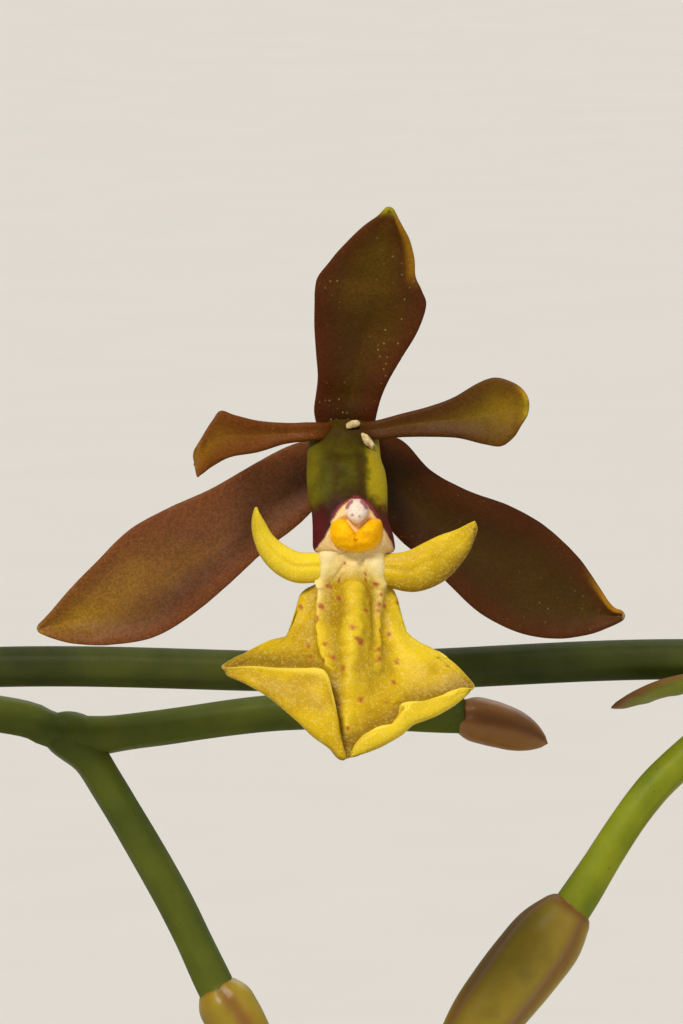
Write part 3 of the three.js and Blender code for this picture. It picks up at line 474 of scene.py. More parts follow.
TEPAL_VALUES = "olive", "rim", "gold", "tip", "deep"
# The lateral sepals share one colour: part of the left sepal's lighter, rosier skin is painted light, and
# part of the right sepal's darker olive skin is painted shade.
SKINS = {
    "dark": tepal_skin("waxy_tepal_dark", "#401f04", "#5a4004", "#562407", "#9a8e18", "#2c1404", 0.18, 0.9),
    "rosy": tepal_skin("waxy_tepal_rosy_painted_light", "#764a2c", "#926c1c", "#6e3a18", "#98803a", "#3a1e0c", 0.22, 0.3),
    "olive": tepal_skin("waxy_tepal_olive_painted_shade", "#381c04", "#442f04", "#542808", "#9a9460", "#241203", 0.14, 0.3),
    "tan": tepal_skin("waxy_petal_tan", "#5c3108", "#7c5206", "#6c380a", "#8c7410", "#442408", 0.18, 0.4),
    "bronze": tepal_skin(
        "waxy_petal_bronze", "#2a1603", "#7c6006", "#5c340a", "#a89018", "#2c1804", 0.16, 0.2
    ),
}
print("tepal skins:", [skin.name for skin in SKINS.values()])

# %% [markdown]
# Each tepal is a patch through a few rows of points. A row runs across the blade, from its left or
# upper edge over its middle to its right or lower edge. The places are in the bloom's frame, in
# millimetres, along the outline of the plain solid that the blade stands for.

# %% Rows of the five tepals
DORSAL_SEPAL = [
    [(-1.1, 0.5, -0.1), (0, 0.75, -0.1), (1.1, 0.5, -0.1)],
    [(-1.26, 0.2, 0.7), (0, 0.5, 0.7), (1.25, 0.2, 0.7)],
    [(-1.2, 0.0, 1.4), (0.15, 0.35, 1.4), (1.46, 0.0, 1.4)],
    [(-1.14, -0.35, 2.14), (0.3, -0.05, 2.1), (1.75, -0.35, 2.05)],
    [(-1.2, -0.8, 3.0), (0.5, -0.45, 3.0), (2.26, -0.8, 2.92)],
    [(-1.26, -1.3, 4.1), (0.8, -0.9, 4.0), (2.86, -1.2, 3.92)],
    [(-1.26, -1.9, 5.1), (1.0, -1.5, 5.0), (3.2, -1.6, 4.95)],
    [(-1.25, -2.15, 5.6), (1.0, -1.8, 5.5), (3.02, -1.95, 5.52)],
    [(-1.12, -2.4, 6.15), (1.05, -2.1, 6.1), (2.77, -2.3, 6.05)],
    [(-0.62, -2.8, 6.75), (1.2, -2.6, 6.8), (2.72, -2.75, 6.75)],
    [(0.1, -3.3, 7.5), (1.4, -3.1, 7.5), (2.53, -3.3, 7.5)],
    [(0.68, -3.7, 8.05), (1.55, -3.6, 8.0), (2.3, -3.8, 7.95)],
    [(1.2, -4.05, 8.4), (1.68, -4.0, 8.42), (2.1, -4.1, 8.3)],
    [(1.5, -4.25, 8.68), (1.72, -4.25, 8.74), (1.94, -4.25, 8.62)],
    [(1.68, -4.3, 8.8), (1.73, -4.3, 8.81), (1.79, -4.3, 8.78)],
]
LEFT_SEPAL = [
    [(-1.0, 0.5, -0.3), (-0.7, 0.9, -1.5), (-0.8, 0.6, -2.6)],
    [(-2.2, 0.7, -0.6), (-2.0, 1.1, -2.3), (-1.8, 0.8, -3.7)],
    [(-3.7, 0.9, -1.35), (-3.6, 1.4, -3.3), (-3.2, 1.0, -4.8)],
    [(-5.5, 1.2, -2.4), (-5.2, 1.8, -4.5), (-4.6, 1.4, -6.1)],
    [(-7.2, 1.5, -3.15), (-6.8, 2.2, -5.6), (-6.0, 1.8, -7.25)],
    [(-8.7, 1.8, -4.0), (-8.4, 2.4, -6.5), (-7.7, 2.0, -8.3)],
    [(-10.0, 2.1, -5.25), (-9.9, 2.7, -7.2), (-9.5, 2.3, -8.63)],
    [(-11.0, 2.35, -6.3), (-11.0, 2.8, -7.65), (-10.9, 2.4, -8.57)],
    [(-11.75, 2.5, -7.15), (-11.8, 2.75, -7.85), (-11.75, 2.5, -8.38)],
    [(-12.25, 2.6, -7.72), (-12.25, 2.75, -7.95), (-12.22, 2.6, -8.18)],
    [(-12.42, 2.68, -7.92), (-12.44, 2.7, -7.98), (-12.41, 2.68, -8.05)],
]
RIGHT_SEPAL = [
    [(1.0, 0.5, -0.2), (0.8, 0.9, -1.5), (0.9, 0.6, -2.7)],
    [(2.2, 0.7, -0.38), (2.1, 1.1, -2.3), (1.95, 0.8, -4.2)],
    [(3.4, 0.9, -1.6), (3.3, 1.4, -3.5), (3.0, 1.0, -5.15)],
    [(4.9, 1.1, -2.42), (4.6, 1.7, -4.4), (4.1, 1.3, -6.15)],
    [(6.5, 1.4, -3.0), (6.1, 2.0, -5.3), (5.4, 1.7, -7.35)],
    [(8.0, 1.7, -3.82), (7.6, 2.4, -6.2), (6.9, 2.0, -8.12)],
    [(9.2, 2.0, -4.95), (8.9, 2.6, -6.85), (8.5, 2.2, -8.37)],
    [(10.1, 2.3, -6.2), (9.95, 2.75, -7.3), (9.8, 2.4, -8.2)],
    [(10.68, 2.5, -7.05), (10.65, 2.8, -7.45), (10.6, 2.5, -7.9)],
    [(11.05, 2.6, -7.24), (11.07, 2.75, -7.46), (11.03, 2.6, -7.68)],
    [(11.2, 2.68, -7.36), (11.23, 2.7, -7.45), (11.2, 2.68, -7.54)],
]
LEFT_PETAL = [
    [(-0.4, 0.1, 0.25), (-0.4, 0.1, 0.05), (-0.4, 0.1, -0.2)],
    [(-0.95, -0.6, 0.3), (-0.95, -0.6, 0.0), (-0.95, -0.6, -0.4)],
    [(-1.5, -1.0, 0.3), (-1.5, -0.9, -0.08), (-1.5, -1.0, -0.45)],
    [(-2.3, -1.0, 0.27), (-2.35, -0.85, -0.15), (-2.4, -1.05, -0.53)],
    [(-3.4, -1.1, 0.35), (-3.45, -0.9, -0.2), (-3.5, -1.2, -0.9)],
    [(-4.4, -1.3, 0.58), (-4.5, -1.1, -0.25), (-4.6, -1.5, -1.08)],
    [(-5.0, -1.35, 0.76), (-5.15, -1.3, -0.35), (-5.3, -1.9, -1.45)],
    [(-5.35, -1.4, 0.35), (-5.6, -1.6, -0.75), (-5.75, -2.3, -1.8)],
    [(-5.75, -1.6, -0.28), (-5.88, -1.85, -1.05), (-5.93, -2.35, -1.9)],
    [(-6.08, -1.75, -0.85), (-6.1, -1.85, -1.1), (-6.04, -2.05, -1.4)],
]
RIGHT_PETAL = [
    [(0.3, 0.1, 0.2), (0.3, 0.1, 0.0), (0.3, 0.1, -0.2)],
    [(0.8, -0.6, 0.32), (0.8, -0.6, 0.0), (0.8, -0.6, -0.34)],
    [(1.3, -0.95, 0.4), (1.32, -0.85, 0.02), (1.35, -0.95, -0.38)],
    [(2.2, -0.95, 0.64), (2.25, -0.8, 0.18), (2.3, -1.0, -0.28)],
    [(3.3, -1.0, 0.92), (3.35, -0.8, 0.32), (3.4, -1.05, -0.27)],
    [(4.3, -1.2, 1.3), (4.4, -0.95, 0.45), (4.5, -1.2, -0.33)],
    [(5.2, -1.5, 1.82), (5.35, -1.15, 0.62), (5.5, -1.45, -0.58)],
    [(5.9, -1.65, 2.06), (6.05, -1.3, 0.75), (6.2, -1.65, -0.68)],
    [(6.6, -1.8, 1.9), (6.7, -1.5, 0.8), (6.7, -1.8, -0.32)],
    [(7.05, -1.9, 1.62), (7.05, -1.7, 0.85), (7.0, -1.9, 0.18)],
    [(7.27, -2.0, 1.2), (7.31, -1.9, 0.95), (7.24, -2.0, 0.62)],
]
print("rows in a dorsal sepal:", len(DORSAL_SEPAL))

# %% [markdown]
# The blades get a faint groove over the midrib and soft swells. Their flesh thins to half towards the
# tip and ends in a small swelling. What the skin needs is worked out from where a point lies: how
# olive it is, how far it is from the rim, whether it is in the golden stretch of the rim, whether it
# is in the yellow-green tip, and how much painted shade it gets: at its foot, where the tepals meet,
# and on the left sepal under the middle of its lower half.

# %% Tepal blades
TEPALS = {
    "dorsal_sepal": dict(
        rows=DORSAL_SEPAL, skin="dark", olive=(0.0, 1.0), golden=(1, 0.5, 1.0), tip=(0.86, 0.95)
    ),
    "left_sepal": dict(
        rows=LEFT_SEPAL, skin="rosy", olive=(-1.0, 1.5), golden=(1, 0.8, 1.1), tip=(0.92, 1.0), dark=0.6
    ),
    "right_sepal": dict(
        rows=RIGHT_SEPAL, skin="olive", olive=(0.1, 0.95), golden=(-1, 0.62, 1.0), tip=(0.92, 0.98)
    ),
    "left_petal": dict(rows=LEFT_PETAL, skin="tan", olive=(-0.3, 1.0), tip=(0.86, 1.1)),
    "right_petal": dict(
        rows=RIGHT_PETAL, skin="bronze", olive=(-0.7, 1.3), golden=(-1, 0.8, 1.2), tip=(0.84, 1.06)
    ),
}
GROOVE = 0.03
BLADE_FLESH = 0.36


def opened(rows, flip=1, back=0.0):
    """The rows of a bloom that is mirrored by flip and whose tepals lean further back."""
    rows = np.array(rows, float)
    rows[..., 1] += back * np.hypot(rows[..., 0], rows[..., 2])
    rows[..., 0] *= flip
    return rows


def tepal_blade(rows, along, across, seed, olive, tip, golden=(1, 2, 3), dark=0.0):
    """A tepal. olive is how olive it is at its foot and its end, tip where the tip's colour starts
    and is full, golden the side of the golden rim and where it starts and ends along the blade, and
    dark how much painted shade lies on the middle of its lower half. Its foot gets painted shade too."""
    middle = resampled(smooth_patch(rows, along, across))
    sides = crowded(across)[None, :]
    lengths = np.linspace(0, 1, along)[:, None]
    width = np.linalg.norm(middle[:, :1] - middle[:, -1:], axis=-1)
    broad = np.clip(width / 3, 0, 1)
    lift = broad * (0.07 * ripples(middle, 3.2, seed) + 0.012 * ripples(middle, 0.9, seed + 1))
    thick_tip = 0.10 * hump(lengths - 0.97, 0.02) * (1 - sides**2)
    relief = thick_tip - GROOVE * broad * hump(sides, 0.1) * (1 - lengths)
    points, faces = blade(swayed(middle, lift), BLADE_FLESH * (1 - 0.5 * lengths**4), relief)
    side, start, end = golden
    stretch = ease((lengths - start) / 0.14) * ease((end - lengths) / 0.1)
    rim = np.minimum((1 - np.abs(sides)) * width / 2, (1 - lengths) * 6)
    share = olive[0] + (olive[1] - olive[0]) * lengths
    # Painted shade: full at the foot, where the tepals meet, and on the middle of the lower half as far as
    # dark says.
    shadowed = dark * hump(sides - 0.5, 0.45) * hump(lengths - 0.4, 0.22)
    values = {
        "olive": on_blade(share + 0.3 * (1 - 2 * np.abs(sides) ** 1.5)),
        "rim": on_blade(rim),
        "gold": on_blade(0.85 * stretch * ease((side * sides - 0.68) / 0.25)),
        "tip": on_blade(0.9 * ease((lengths - tip[0]) / (tip[1] - tip[0])) + 0 * sides),
        "deep": on_blade(np.maximum(0.8 * ease(1 - lengths / 0.2), shadowed)),
    }
    return points, faces, values


def make_tepal(name, along, across, seed, flip=1, back=0.0):
    """One tepal's points, faces, values and skin. In a mirrored bloom left and right change places."""
    facts = dict(TEPALS[name])
    skin = SKINS[facts.pop("skin")]
    rows = opened(facts.pop("rows"), flip, back)
    return *tepal_blade(rows, along, across, seed, **facts), skin


for number, name in enumerate(TEPALS):
    points, faces, values, skin = make_tepal(name, 140, 80, 10 * number)
    node = "bloom_1_" + name
    add_piece("fine_" + node, points, faces, skin, "tepal", [node], values, main_place)
print("tepals of the main bloom:", len(TEPALS))

# %% [markdown]
# ## The lip
#
# The lip is the bright yellow landing place for a pollinator. Two horn-like side lobes stand beside
# the column. The skirt between them carries three keels and has its margin turned up towards the
# eye, in a broad flap on the left and a narrow, ruffled one on the right. A few dozen small pink
# freckles lie between the keels.
#
# Its flesh is full of water and of yellow pigment, and its skin is covered with tiny glistening
# domes. Water gives a refractive index near 1.4, the domes a sparkle, and the wet flesh lets light
# through, which takes the edge off every shadow. The sparkle is helped by painted glints: each dome
# is lighter in its middle, and some domes are painted paler. Light and shade on the lip are painted
# too: painted light on the left horn, the keels' crests and the flaps' free edges, and painted shade
# in the valleys, under the flaps and on the right horn.

# %% Lip flesh
DOME = 0.075  # millimetres across a dome: about twice the real width, so that it shows
lip_flesh, place = new_material("lip_flesh_yellow")
at = {}
for key in ("bright", "pale", "shade", "freckle"):
    at[key] = add_node(lip_flesh, "Attribute", output="Fac", attribute_name=key)
clouds = add_node(lip_flesh, "TexNoise", {"Vector": place, "Scale": per_mm(1.3), "Detail": 4})
clouds = add_node(lip_flesh, "MapRange", [clouds, 0.32, 0.68, 0, 1], **SMOOTH)
domes = {"Vector": place, "Scale": per_mm(DOME)}
dome = add_node(lip_flesh, "TexVoronoi", domes, output="Distance")
dome = add_node(lip_flesh, "MapRange", [dome, 0, 0.6, 1, 0])
one_dome = add_node(lip_flesh, "SeparateColor", [add_node(lip_flesh, "TexVoronoi", domes, output="Color")])
# Painted glints: some domes are painted a paler yellow.
painted_glint_dome = add_node(lip_flesh, "MapRange", [one_dome, 0.6, 1, 0, 0.22])
tone = "#bc9604"
# The bright layer is painted light and the shade layer painted shade; the pale layer is the callus's cream
# with a painted highlight on the flaps' free edges.
for share, colour in (
    (clouds, "#d8b408"),
    (at["bright"], "#f8da2c"),
    (at["shade"], "#866404"),
    (at["pale"], "#f4e0a4"),
    (painted_glint_dome, "#fae888"),
    (at["freckle"], "#aa4432"),
):
    tone = add_node(lip_flesh, "Mix", {0: share, 6: tone, 7: colour}, **COLOURS)
# Painted glints: each dome's colour is lighter in its middle and darker at its edge.
light = add_node(lip_flesh, "MapRange", [dome, 0, 1, 0.92, 1.06])
tone = add_node(lip_flesh, "VectorMath", {0: tone, "Scale": light}, operation="SCALE")
swell = add_node(lip_flesh, "TexNoise", {"Vector": place, "Scale": per_mm(0.45), "Detail": 3})
facing = add_node(lip_flesh, "NewGeometry", output="Normal")
for height, depth in ((swell, 0.02), (dome, 0.010)):
    facing = add_node(lip_flesh, "Bump", {"Height": height, "Distance": depth * MM, "Normal": facing})
finish(lip_flesh, {
    "Base Color": tone,
    "Roughness": 0.4,
    "IOR": 1.4,
    "Specular IOR Level": 0.25,
    "Normal": facing,
    "Subsurface Weight": 0.15,
    "Subsurface Radius": (1.0, 0.7, 0.08),
    "Subsurface Scale": 0.0004,
})
print("lip flesh:", lip_flesh.name)

# %% [markdown]
# The skirt is a net of rows from the top, under the column, to the tip. A row is given by five
# points: the left edge, the line where the left margin folds up, the middle, the right fold and the
# right edge. Down to the two side corners the folds lie beside the edges. Below the corners the
# edges swing in again, in front of the skirt, and the flaps between fold and edge grow broad.

# %% Rows of the lip
SKIRT_ROWS = [
    [(-0.82, -2.45, -4.95), (-0.6, -2.8, -4.86), (0.27, -2.7, -4.87),
     (1.14, -2.8, -4.86), (1.36, -2.45, -4.95)],
    [(-0.82, -2.4, -5.5), (-0.66, -2.8, -5.5), (0.27, -2.9, -5.5), (1.16, -2.8, -5.5), (1.36, -2.4, -5.5)],
    [(-0.95, -2.25, -6.0), (-0.78, -2.65, -6.1), (0.25, -3.15, -6.15),
     (1.22, -2.65, -6.1), (1.42, -2.25, -6.0)],
    [(-1.7, -2.2, -6.5), (-1.35, -2.55, -6.65), (0.22, -3.5, -6.8), (1.6, -2.55, -6.65), (1.96, -2.2, -6.5)],
    [(-2.04, -2.4, -7.4), (-1.8, -2.75, -7.45), (0.2, -4.0, -7.6), (1.85, -2.75, -7.4), (2.13, -2.45, -7.3)],
    [(-2.3, -2.8, -8.2), (-2.15, -3.1, -8.35), (0.17, -4.45, -8.5), (2.2, -3.15, -8.3), (2.37, -2.9, -8.05)],
    [(-3.05, -3.25, -8.42), (-2.85, -3.5, -8.85), (0.16, -4.8, -9.2),
     (2.75, -3.55, -8.75), (2.86, -3.25, -8.45)],
    [(-3.85, -3.8, -8.75), (-3.65, -4.1, -9.25), (0.15, -5.1, -9.8), (3.6, -4.1, -9.25), (3.75, -3.8, -8.9)],
    [(-4.5, -4.35, -9.13), (-4.3, -4.75, -9.6), (0.13, -5.4, -10.3), (4.3, -4.6, -9.75), (4.35, -4.4, -9.35)],
    [(-4.92, -4.9, -9.42), (-4.4, -5.2, -9.8), (0.11, -5.6, -10.8),
     (4.65, -5.0, -10.3), (5.1, -4.95, -10.18)],
    [(-3.9, -5.15, -9.4), (-3.5, -5.6, -10.12), (0.1, -5.75, -11.2),
     (4.2, -5.3, -10.75), (4.5, -5.25, -10.25)],
    [(-2.75, -5.4, -9.42), (-2.64, -6.0, -10.72), (0.09, -5.9, -11.55),
     (3.55, -5.7, -11.12), (3.95, -5.5, -10.5)],
    [(-1.7, -5.75, -9.46), (-2.04, -6.35, -11.24), (0.08, -6.0, -11.85),
     (2.95, -6.0, -11.42), (3.16, -5.75, -10.72)],
    [(-0.84, -6.1, -9.56), (-1.52, -6.6, -11.64), (0.07, -6.15, -12.1),
     (2.48, -6.25, -11.62), (2.5, -6.05, -10.78)],
    [(-0.52, -6.5, -10.4), (-1.04, -6.8, -12.04), (0.06, -6.3, -12.3),
     (2.05, -6.5, -11.92), (2.28, -6.35, -11.16)],
    [(-0.38, -6.75, -11.2), (-0.56, -6.9, -12.42), (0.05, -6.45, -12.5),
     (1.5, -6.7, -12.24), (1.86, -6.55, -11.6)],
    [(-0.32, -6.85, -12.0), (-0.26, -6.95, -12.76), (0.03, -6.6, -12.7),
     (0.96, -6.8, -12.48), (1.12, -6.7, -11.86)],
    [(-0.16, -6.9, -12.52), (-0.12, -6.95, -12.92), (0.02, -6.75, -12.86),
     (0.42, -6.85, -12.8), (0.5, -6.8, -12.3)],
    [(-0.04, -6.92, -12.9), (0.0, -6.95, -13.0), (0.03, -6.9, -12.97),
     (0.08, -6.9, -12.95), (0.2, -6.9, -12.82)],
]
CORNER_ROW = 9  # the row that holds the two side corners
FLAP_BULGE = 0.10
FLOOR_SAG = 0.10
LEFT_HORN = [
    [(-0.6, -2.5, -4.95), (-0.6, -2.6, -5.5), (-0.6, -2.5, -6.0)],
    [(-1.3, -2.6, -4.9), (-1.3, -2.75, -5.5), (-1.3, -2.6, -6.08)],
    [(-1.95, -2.8, -4.86), (-2.0, -2.92, -5.5), (-2.05, -2.8, -6.08)],
    [(-2.5, -3.0, -4.56), (-2.65, -3.1, -5.15), (-2.8, -3.0, -5.72)],
    [(-2.95, -3.25, -4.15), (-3.2, -3.3, -4.6), (-3.4, -3.25, -5.05)],
    [(-3.2, -3.5, -3.72), (-3.48, -3.52, -4.0), (-3.7, -3.5, -4.25)],
    [(-3.38, -3.8, -3.4), (-3.57, -3.8, -3.5), (-3.74, -3.8, -3.6)],
    [(-3.53, -4.0, -3.1), (-3.57, -4.0, -3.06), (-3.61, -4.0, -3.1)],
]
RIGHT_HORN = [
    [(1.0, -2.5, -4.95), (1.0, -2.6, -5.5), (1.0, -2.5, -6.0)],
    [(1.7, -2.6, -4.93), (1.72, -2.75, -5.6), (1.75, -2.6, -6.3)],
    [(2.45, -2.8, -4.82), (2.6, -2.95, -5.65), (2.75, -2.8, -6.46)],
    [(3.1, -3.0, -4.5), (3.4, -3.15, -5.3), (3.75, -3.0, -6.12)],
    [(3.75, -3.25, -4.2), (4.1, -3.4, -4.9), (4.4, -3.25, -5.55)],
    [(4.4, -3.5, -3.97), (4.65, -3.6, -4.45), (4.9, -3.5, -4.85)],
    [(4.9, -3.8, -3.72), (5.03, -3.85, -4.0), (5.13, -3.8, -4.28)],
    [(5.1, -4.0, -3.63), (5.16, -4.0, -3.76), (5.19, -4.0, -3.92)],
]
print("rows in the skirt:", len(SKIRT_ROWS), "in each horn:", len(LEFT_HORN))

# %% [markdown]
# Keels, folds and freckles are laid over the lip as seen from the front: each point's height is set
# by how far it lies from a line, and its freckle by how far it lies from the nearest freckle. A line
# is given with its width and height, all in millimetres.

# %% Keels, folds and freckles
KEELS = [
    ([(-0.82, -4.9), (-0.88, -6.0), (-0.84, -7.6), (-0.72, -8.8), (-0.55, -9.7)], 0.17, 0.34),
    ([(0.30, -6.4), (0.34, -7.2), (0.24, -8.4), (0.15, -10.0), (0.04, -12.0)], 0.28, 0.24),
    ([(1.34, -4.9), (1.28, -6.2), (1.16, -7.6), (1.1, -9.6)], 0.19, 0.19),
]
FLOOR_FOLDS = [
    ([(-1.2, -7.4), (-1.9, -8.5), (-3.4, -9.1)], 0.22, 0.10),
    ([(-0.45, -8.0), (-0.5, -9.6), (-0.3, -11.4)], 0.12, 0.09),
    ([(1.75, -7.6), (2.1, -8.6), (3.3, -9.6)], 0.22, 0.11),
    ([(0.7, -7.0), (0.72, -9.6), (0.7, -11.2)], 0.14, 0.10),
    ([(1.5, -9.6), (1.9, -10.6), (2.2, -11.2)], 0.2, 0.09),
]
FLAP_FOLDS = [
    ([(-0.95, -9.65), (-0.72, -10.6), (-0.5, -12.2)], 0.15, 0.14),
    ([(-2.0, -9.7), (-1.8, -10.8), (-1.4, -11.8)], 0.3, 0.06),
    ([(2.42, -10.75), (2.2, -11.9)], 0.12, 0.16),
    ([(3.5, -10.6), (3.2, -11.3)], 0.2, 0.08),
]
CALLUS = dict(middle=0.26, half_width=0.95, end=-6.3, height=0.12)
FRECKLES = [
    (-0.62, -6.22), (-0.52, -6.3), (-0.16, -6.08), (-1.12, -6.76), (-1.72, -7.12), (-0.76, -7.22),
    (-0.16, -6.8), (-0.84, -7.72), (0.56, -7.32), (0.8, -5.76), (0.7, -6.04), (1.1, -6.1),
    (1.24, -6.64), (1.16, -7.08), (1.44, -7.1), (1.12, -7.32), (1.94, -6.96), (0.33, -8.45),
    (0.43, -8.56), (0.24, -8.04), (1.16, -8.18), (1.68, -8.26), (-1.46, -8.68), (-1.4, -9.12),
    (-0.56, -8.72), (-0.38, -9.15), (-0.7, -9.38), (-0.04, -9.6), (1.09, -8.97), (1.12, -9.32),
    (2.0, -9.32), (1.83, -10.14), (0.58, -10.74), (-0.26, -10.9), (1.54, -10.83), (0.06, -12.0),
    (-0.04, -5.36),
]


def distance_to_line(x, z, line):
    """How far points lie from a line of straight stretches, as seen from the front."""
    nearest = np.full(x.shape, 1e9)
    for (x1, z1), (x2, z2) in zip(line, line[1:]):
        dx, dz = x2 - x1, z2 - z1
        share = np.clip(((x - x1) * dx + (z - z1) * dz) / (dx * dx + dz * dz), 0, 1)
        nearest = np.minimum(nearest, np.hypot(x - x1 - share * dx, z - z1 - share * dz))
    return nearest


def raised_lines(x, z, lines):
    return sum(
        height * hump(distance_to_line(x, z, smooth_path(line, 12)), width) for line, width, height in lines
    )


def freckles_at(x, z, seed):
    draw = random.Random(seed)
    marks = np.zeros(x.shape)
    for fx, fz in FRECKLES:
        size, stretch = draw.uniform(0.07, 0.12), draw.uniform(0.6, 1.0)
        marks = np.maximum(marks, 0.85 * ease(1.5 - 1.3 * np.hypot(x - fx, stretch * (z - fz)) / size))
    return marks


print("keels:", len(KEELS), "folds:", len(FLOOR_FOLDS) + len(FLAP_FOLDS), "freckles:", len(FRECKLES))

# %% The skirt's net
def skirt_net():
    """The rows with the middle of each flap, which bulges forwards, and the floor, which sags."""
    rows = np.array(SKIRT_ROWS)
    left_edge, left_fold, centre, right_fold, right_edge = rows.transpose(1, 0, 2)

    def between(a, b, forwards):
        half_way = (a + b) / 2
        half_way[:, 1] -= forwards * np.linalg.norm(a - b, axis=-1)
        return half_way

    lines = [left_edge, between(left_edge, left_fold, FLAP_BULGE), left_fold]
    lines += [between(left_fold, centre, -FLOOR_SAG), centre, between(right_fold, centre, -FLOOR_SAG)]
    lines += [right_fold, between(right_edge, right_fold, FLAP_BULGE), right_edge]
    return np.stack(lines, 1)


CORNER_AT = CORNER_ROW / (len(SKIRT_ROWS) - 1)  # share of the skirt's length
print("the skirt's net has", skirt_net().shape[:2], "points")


# %% The skirt
def skirt_blade(along, across, seed):
    middle = resampled(smooth_patch(skirt_net(), along, across))
    sides = crowded(across)[None, :]
    lengths = np.linspace(0, 1, along)[:, None]
    x, z = middle[..., 0], middle[..., 2]
    below = ease((lengths - CORNER_AT) / 0.04)
    flap = ease((np.abs(sides) - 0.46) / 0.1) * below
    corner = hump(lengths - CORNER_AT, 0.05)
    ruffle = np.abs(sides) ** 10 * (0.05 + 0.05 * (sides > 0)) * np.sin(46 * lengths + 2 * sides)
    lift = (ruffle + 0.05 * ripples(middle, 1.8, seed) * (1 - 0.5 * flap)) * (1 - corner)
    keels = raised_lines(x, z, KEELS) * (1 - flap) * (1 + 0.12 * ripples(middle, 0.4, seed + 3))
    folds = raised_lines(x, z, FLOOR_FOLDS) * (1 - flap) + raised_lines(x, z, FLAP_FOLDS) * flap
    beside = np.abs(x - CALLUS["middle"])
    block = ease((z - CALLUS["end"]) / 0.9) * ease((CALLUS["half_width"] - beside) / 0.3)
    lumps = block * (CALLUS["height"] + 0.07 * ripples(middle, 0.5, seed + 2))
    relief = keels + folds + lumps + 0.012 * ripples(middle, 0.5, seed + 1)
    thickness = 0.4 - 0.24 * corner - 0.2 * ease((lengths - 0.9) / 0.1)
    points, faces = blade(swayed(middle, lift), thickness, relief * (1 - corner))
    on_keel = np.clip(keels / 0.3, 0, 1)
    free_edge = ease((np.abs(sides) - 0.9) / 0.08)
    inside = ease((1.15 - beside) / 0.12) * (0.85 + 0.15 * ripples(middle, 0.35, seed + 4))
    outer_keel = on_keel * (np.abs(x - 0.26) > 0.6)
    cream = 0.9 * ease((z + 6.2) / 0.9) * inside + 0.7 * outer_keel * ease((z + 8.0) / 1.8)
    right_wing = ease((x - 1.2) / 1.0) * ease((z + 10) / 1.0)
    # Painted light: lighter yellow on the keels' crests, the flaps' free edges, the right flap and the right
    # wing.
    bright = 0.5 * on_keel + 0.8 * free_edge + 0.5 * flap * (x > 0) + 0.5 * right_wing
    edges = [np.array(SKIRT_ROWS)[CORNER_ROW:, side][:, [0, 2]] for side in (0, 4)]
    under_flap = sum(hump(distance_to_line(x, z, edge), 0.4) for edge in edges)
    valley = ease((0.25 - keels - folds) / 0.25) * ease((1.9 - np.abs(x - 0.2)) / 0.9) * ease((z + 11) / 2)
    shade = np.maximum(0.55 * valley * ease((-5.6 - z) / 0.8), 0.8 * under_flap) * (1 - flap)
    values = {
        "bright": on_blade(np.clip(bright, 0, 1)),
        # The pale values are the callus's cream plus a little painted highlight along the flaps' free edges.
        "pale": on_blade(np.clip(cream + 0.12 * free_edge, 0, 1)),
        "shade": on_blade(shade * (1 - on_keel)),
        "freckle": on_blade(freckles_at(x, z, seed) * (1 - flap)),
    }
    return points, faces, values


print("points in a coarse skirt:", len(skirt_blade(21, 16, 3)[0]))


# %% The horns
def horn_blade(rows, along, across, seed, bright):
    middle = resampled(smooth_patch(rows, along, across))
    sides = crowded(across)[None, :] + np.zeros((along, 1))
    lengths = np.linspace(0, 1, along)[:, None]
    lift = 0.02 * ripples(middle, 1.2, seed)
    crease = -0.07 * hump(sides + 0.1, 0.09) * (1 - lengths)
    points, faces = blade(swayed(middle, lift), 0.56 - 0.36 * lengths**2, crease)
    # Painted shade over the lower side, less where there is more painted light, and a little in the crease;
    # painted light along the upper edge.
    shade = (0.9 - 0.5 * bright) * ease((sides + 0.1) / 1.0)
    shade = shade + 0.25 * hump(sides + 0.1, 0.12) * (1 - lengths)
    values = {
        "bright": on_blade(bright + 0.3 * ease((-sides - 0.5) / 0.5)),
        "pale": on_blade(0 * sides),
        "shade": on_blade(shade),
        "freckle": on_blade(0 * sides),
    }
    return points, faces, values


print("points in a coarse horn:", len(horn_blade(LEFT_HORN, 7, 4, 5, 1.0)[0]))


# %% The lip put together
def add_lip(number, fineness, where, flip=1):
    skirt = int(210 * fineness), int(160 * fineness)
    horn = int(70 * fineness), int(38 * fineness)
    parts = [skirt_blade(*skirt, 3)]
    # The left horn gets full painted light and the right one little, so the right one takes more painted
    # shade.
    parts += [horn_blade(LEFT_HORN, *horn, 5, 1.0), horn_blade(RIGHT_HORN, *horn, 6, 0.15)]
    body = put_together([part[:2] for part in parts])
    values = {key: np.concatenate([part[2][key] for part in parts]) for key in parts[0][2]}
    node = f"bloom_{number}_lip"
    return add_piece("fine_" + node, *mirrored(body, flip), lip_flesh, "lip", [node], values, where)


def mirrored(body, flip):
    """The body as it is, or its mirror image from left to right."""
    points, faces = body
    return body if flip > 0 else turned_over(points * np.array([-1, 1, 1]), faces)


lip = add_lip(1, 1.0, main_place)
print("points in the main lip:", len(lip.data.vertices))
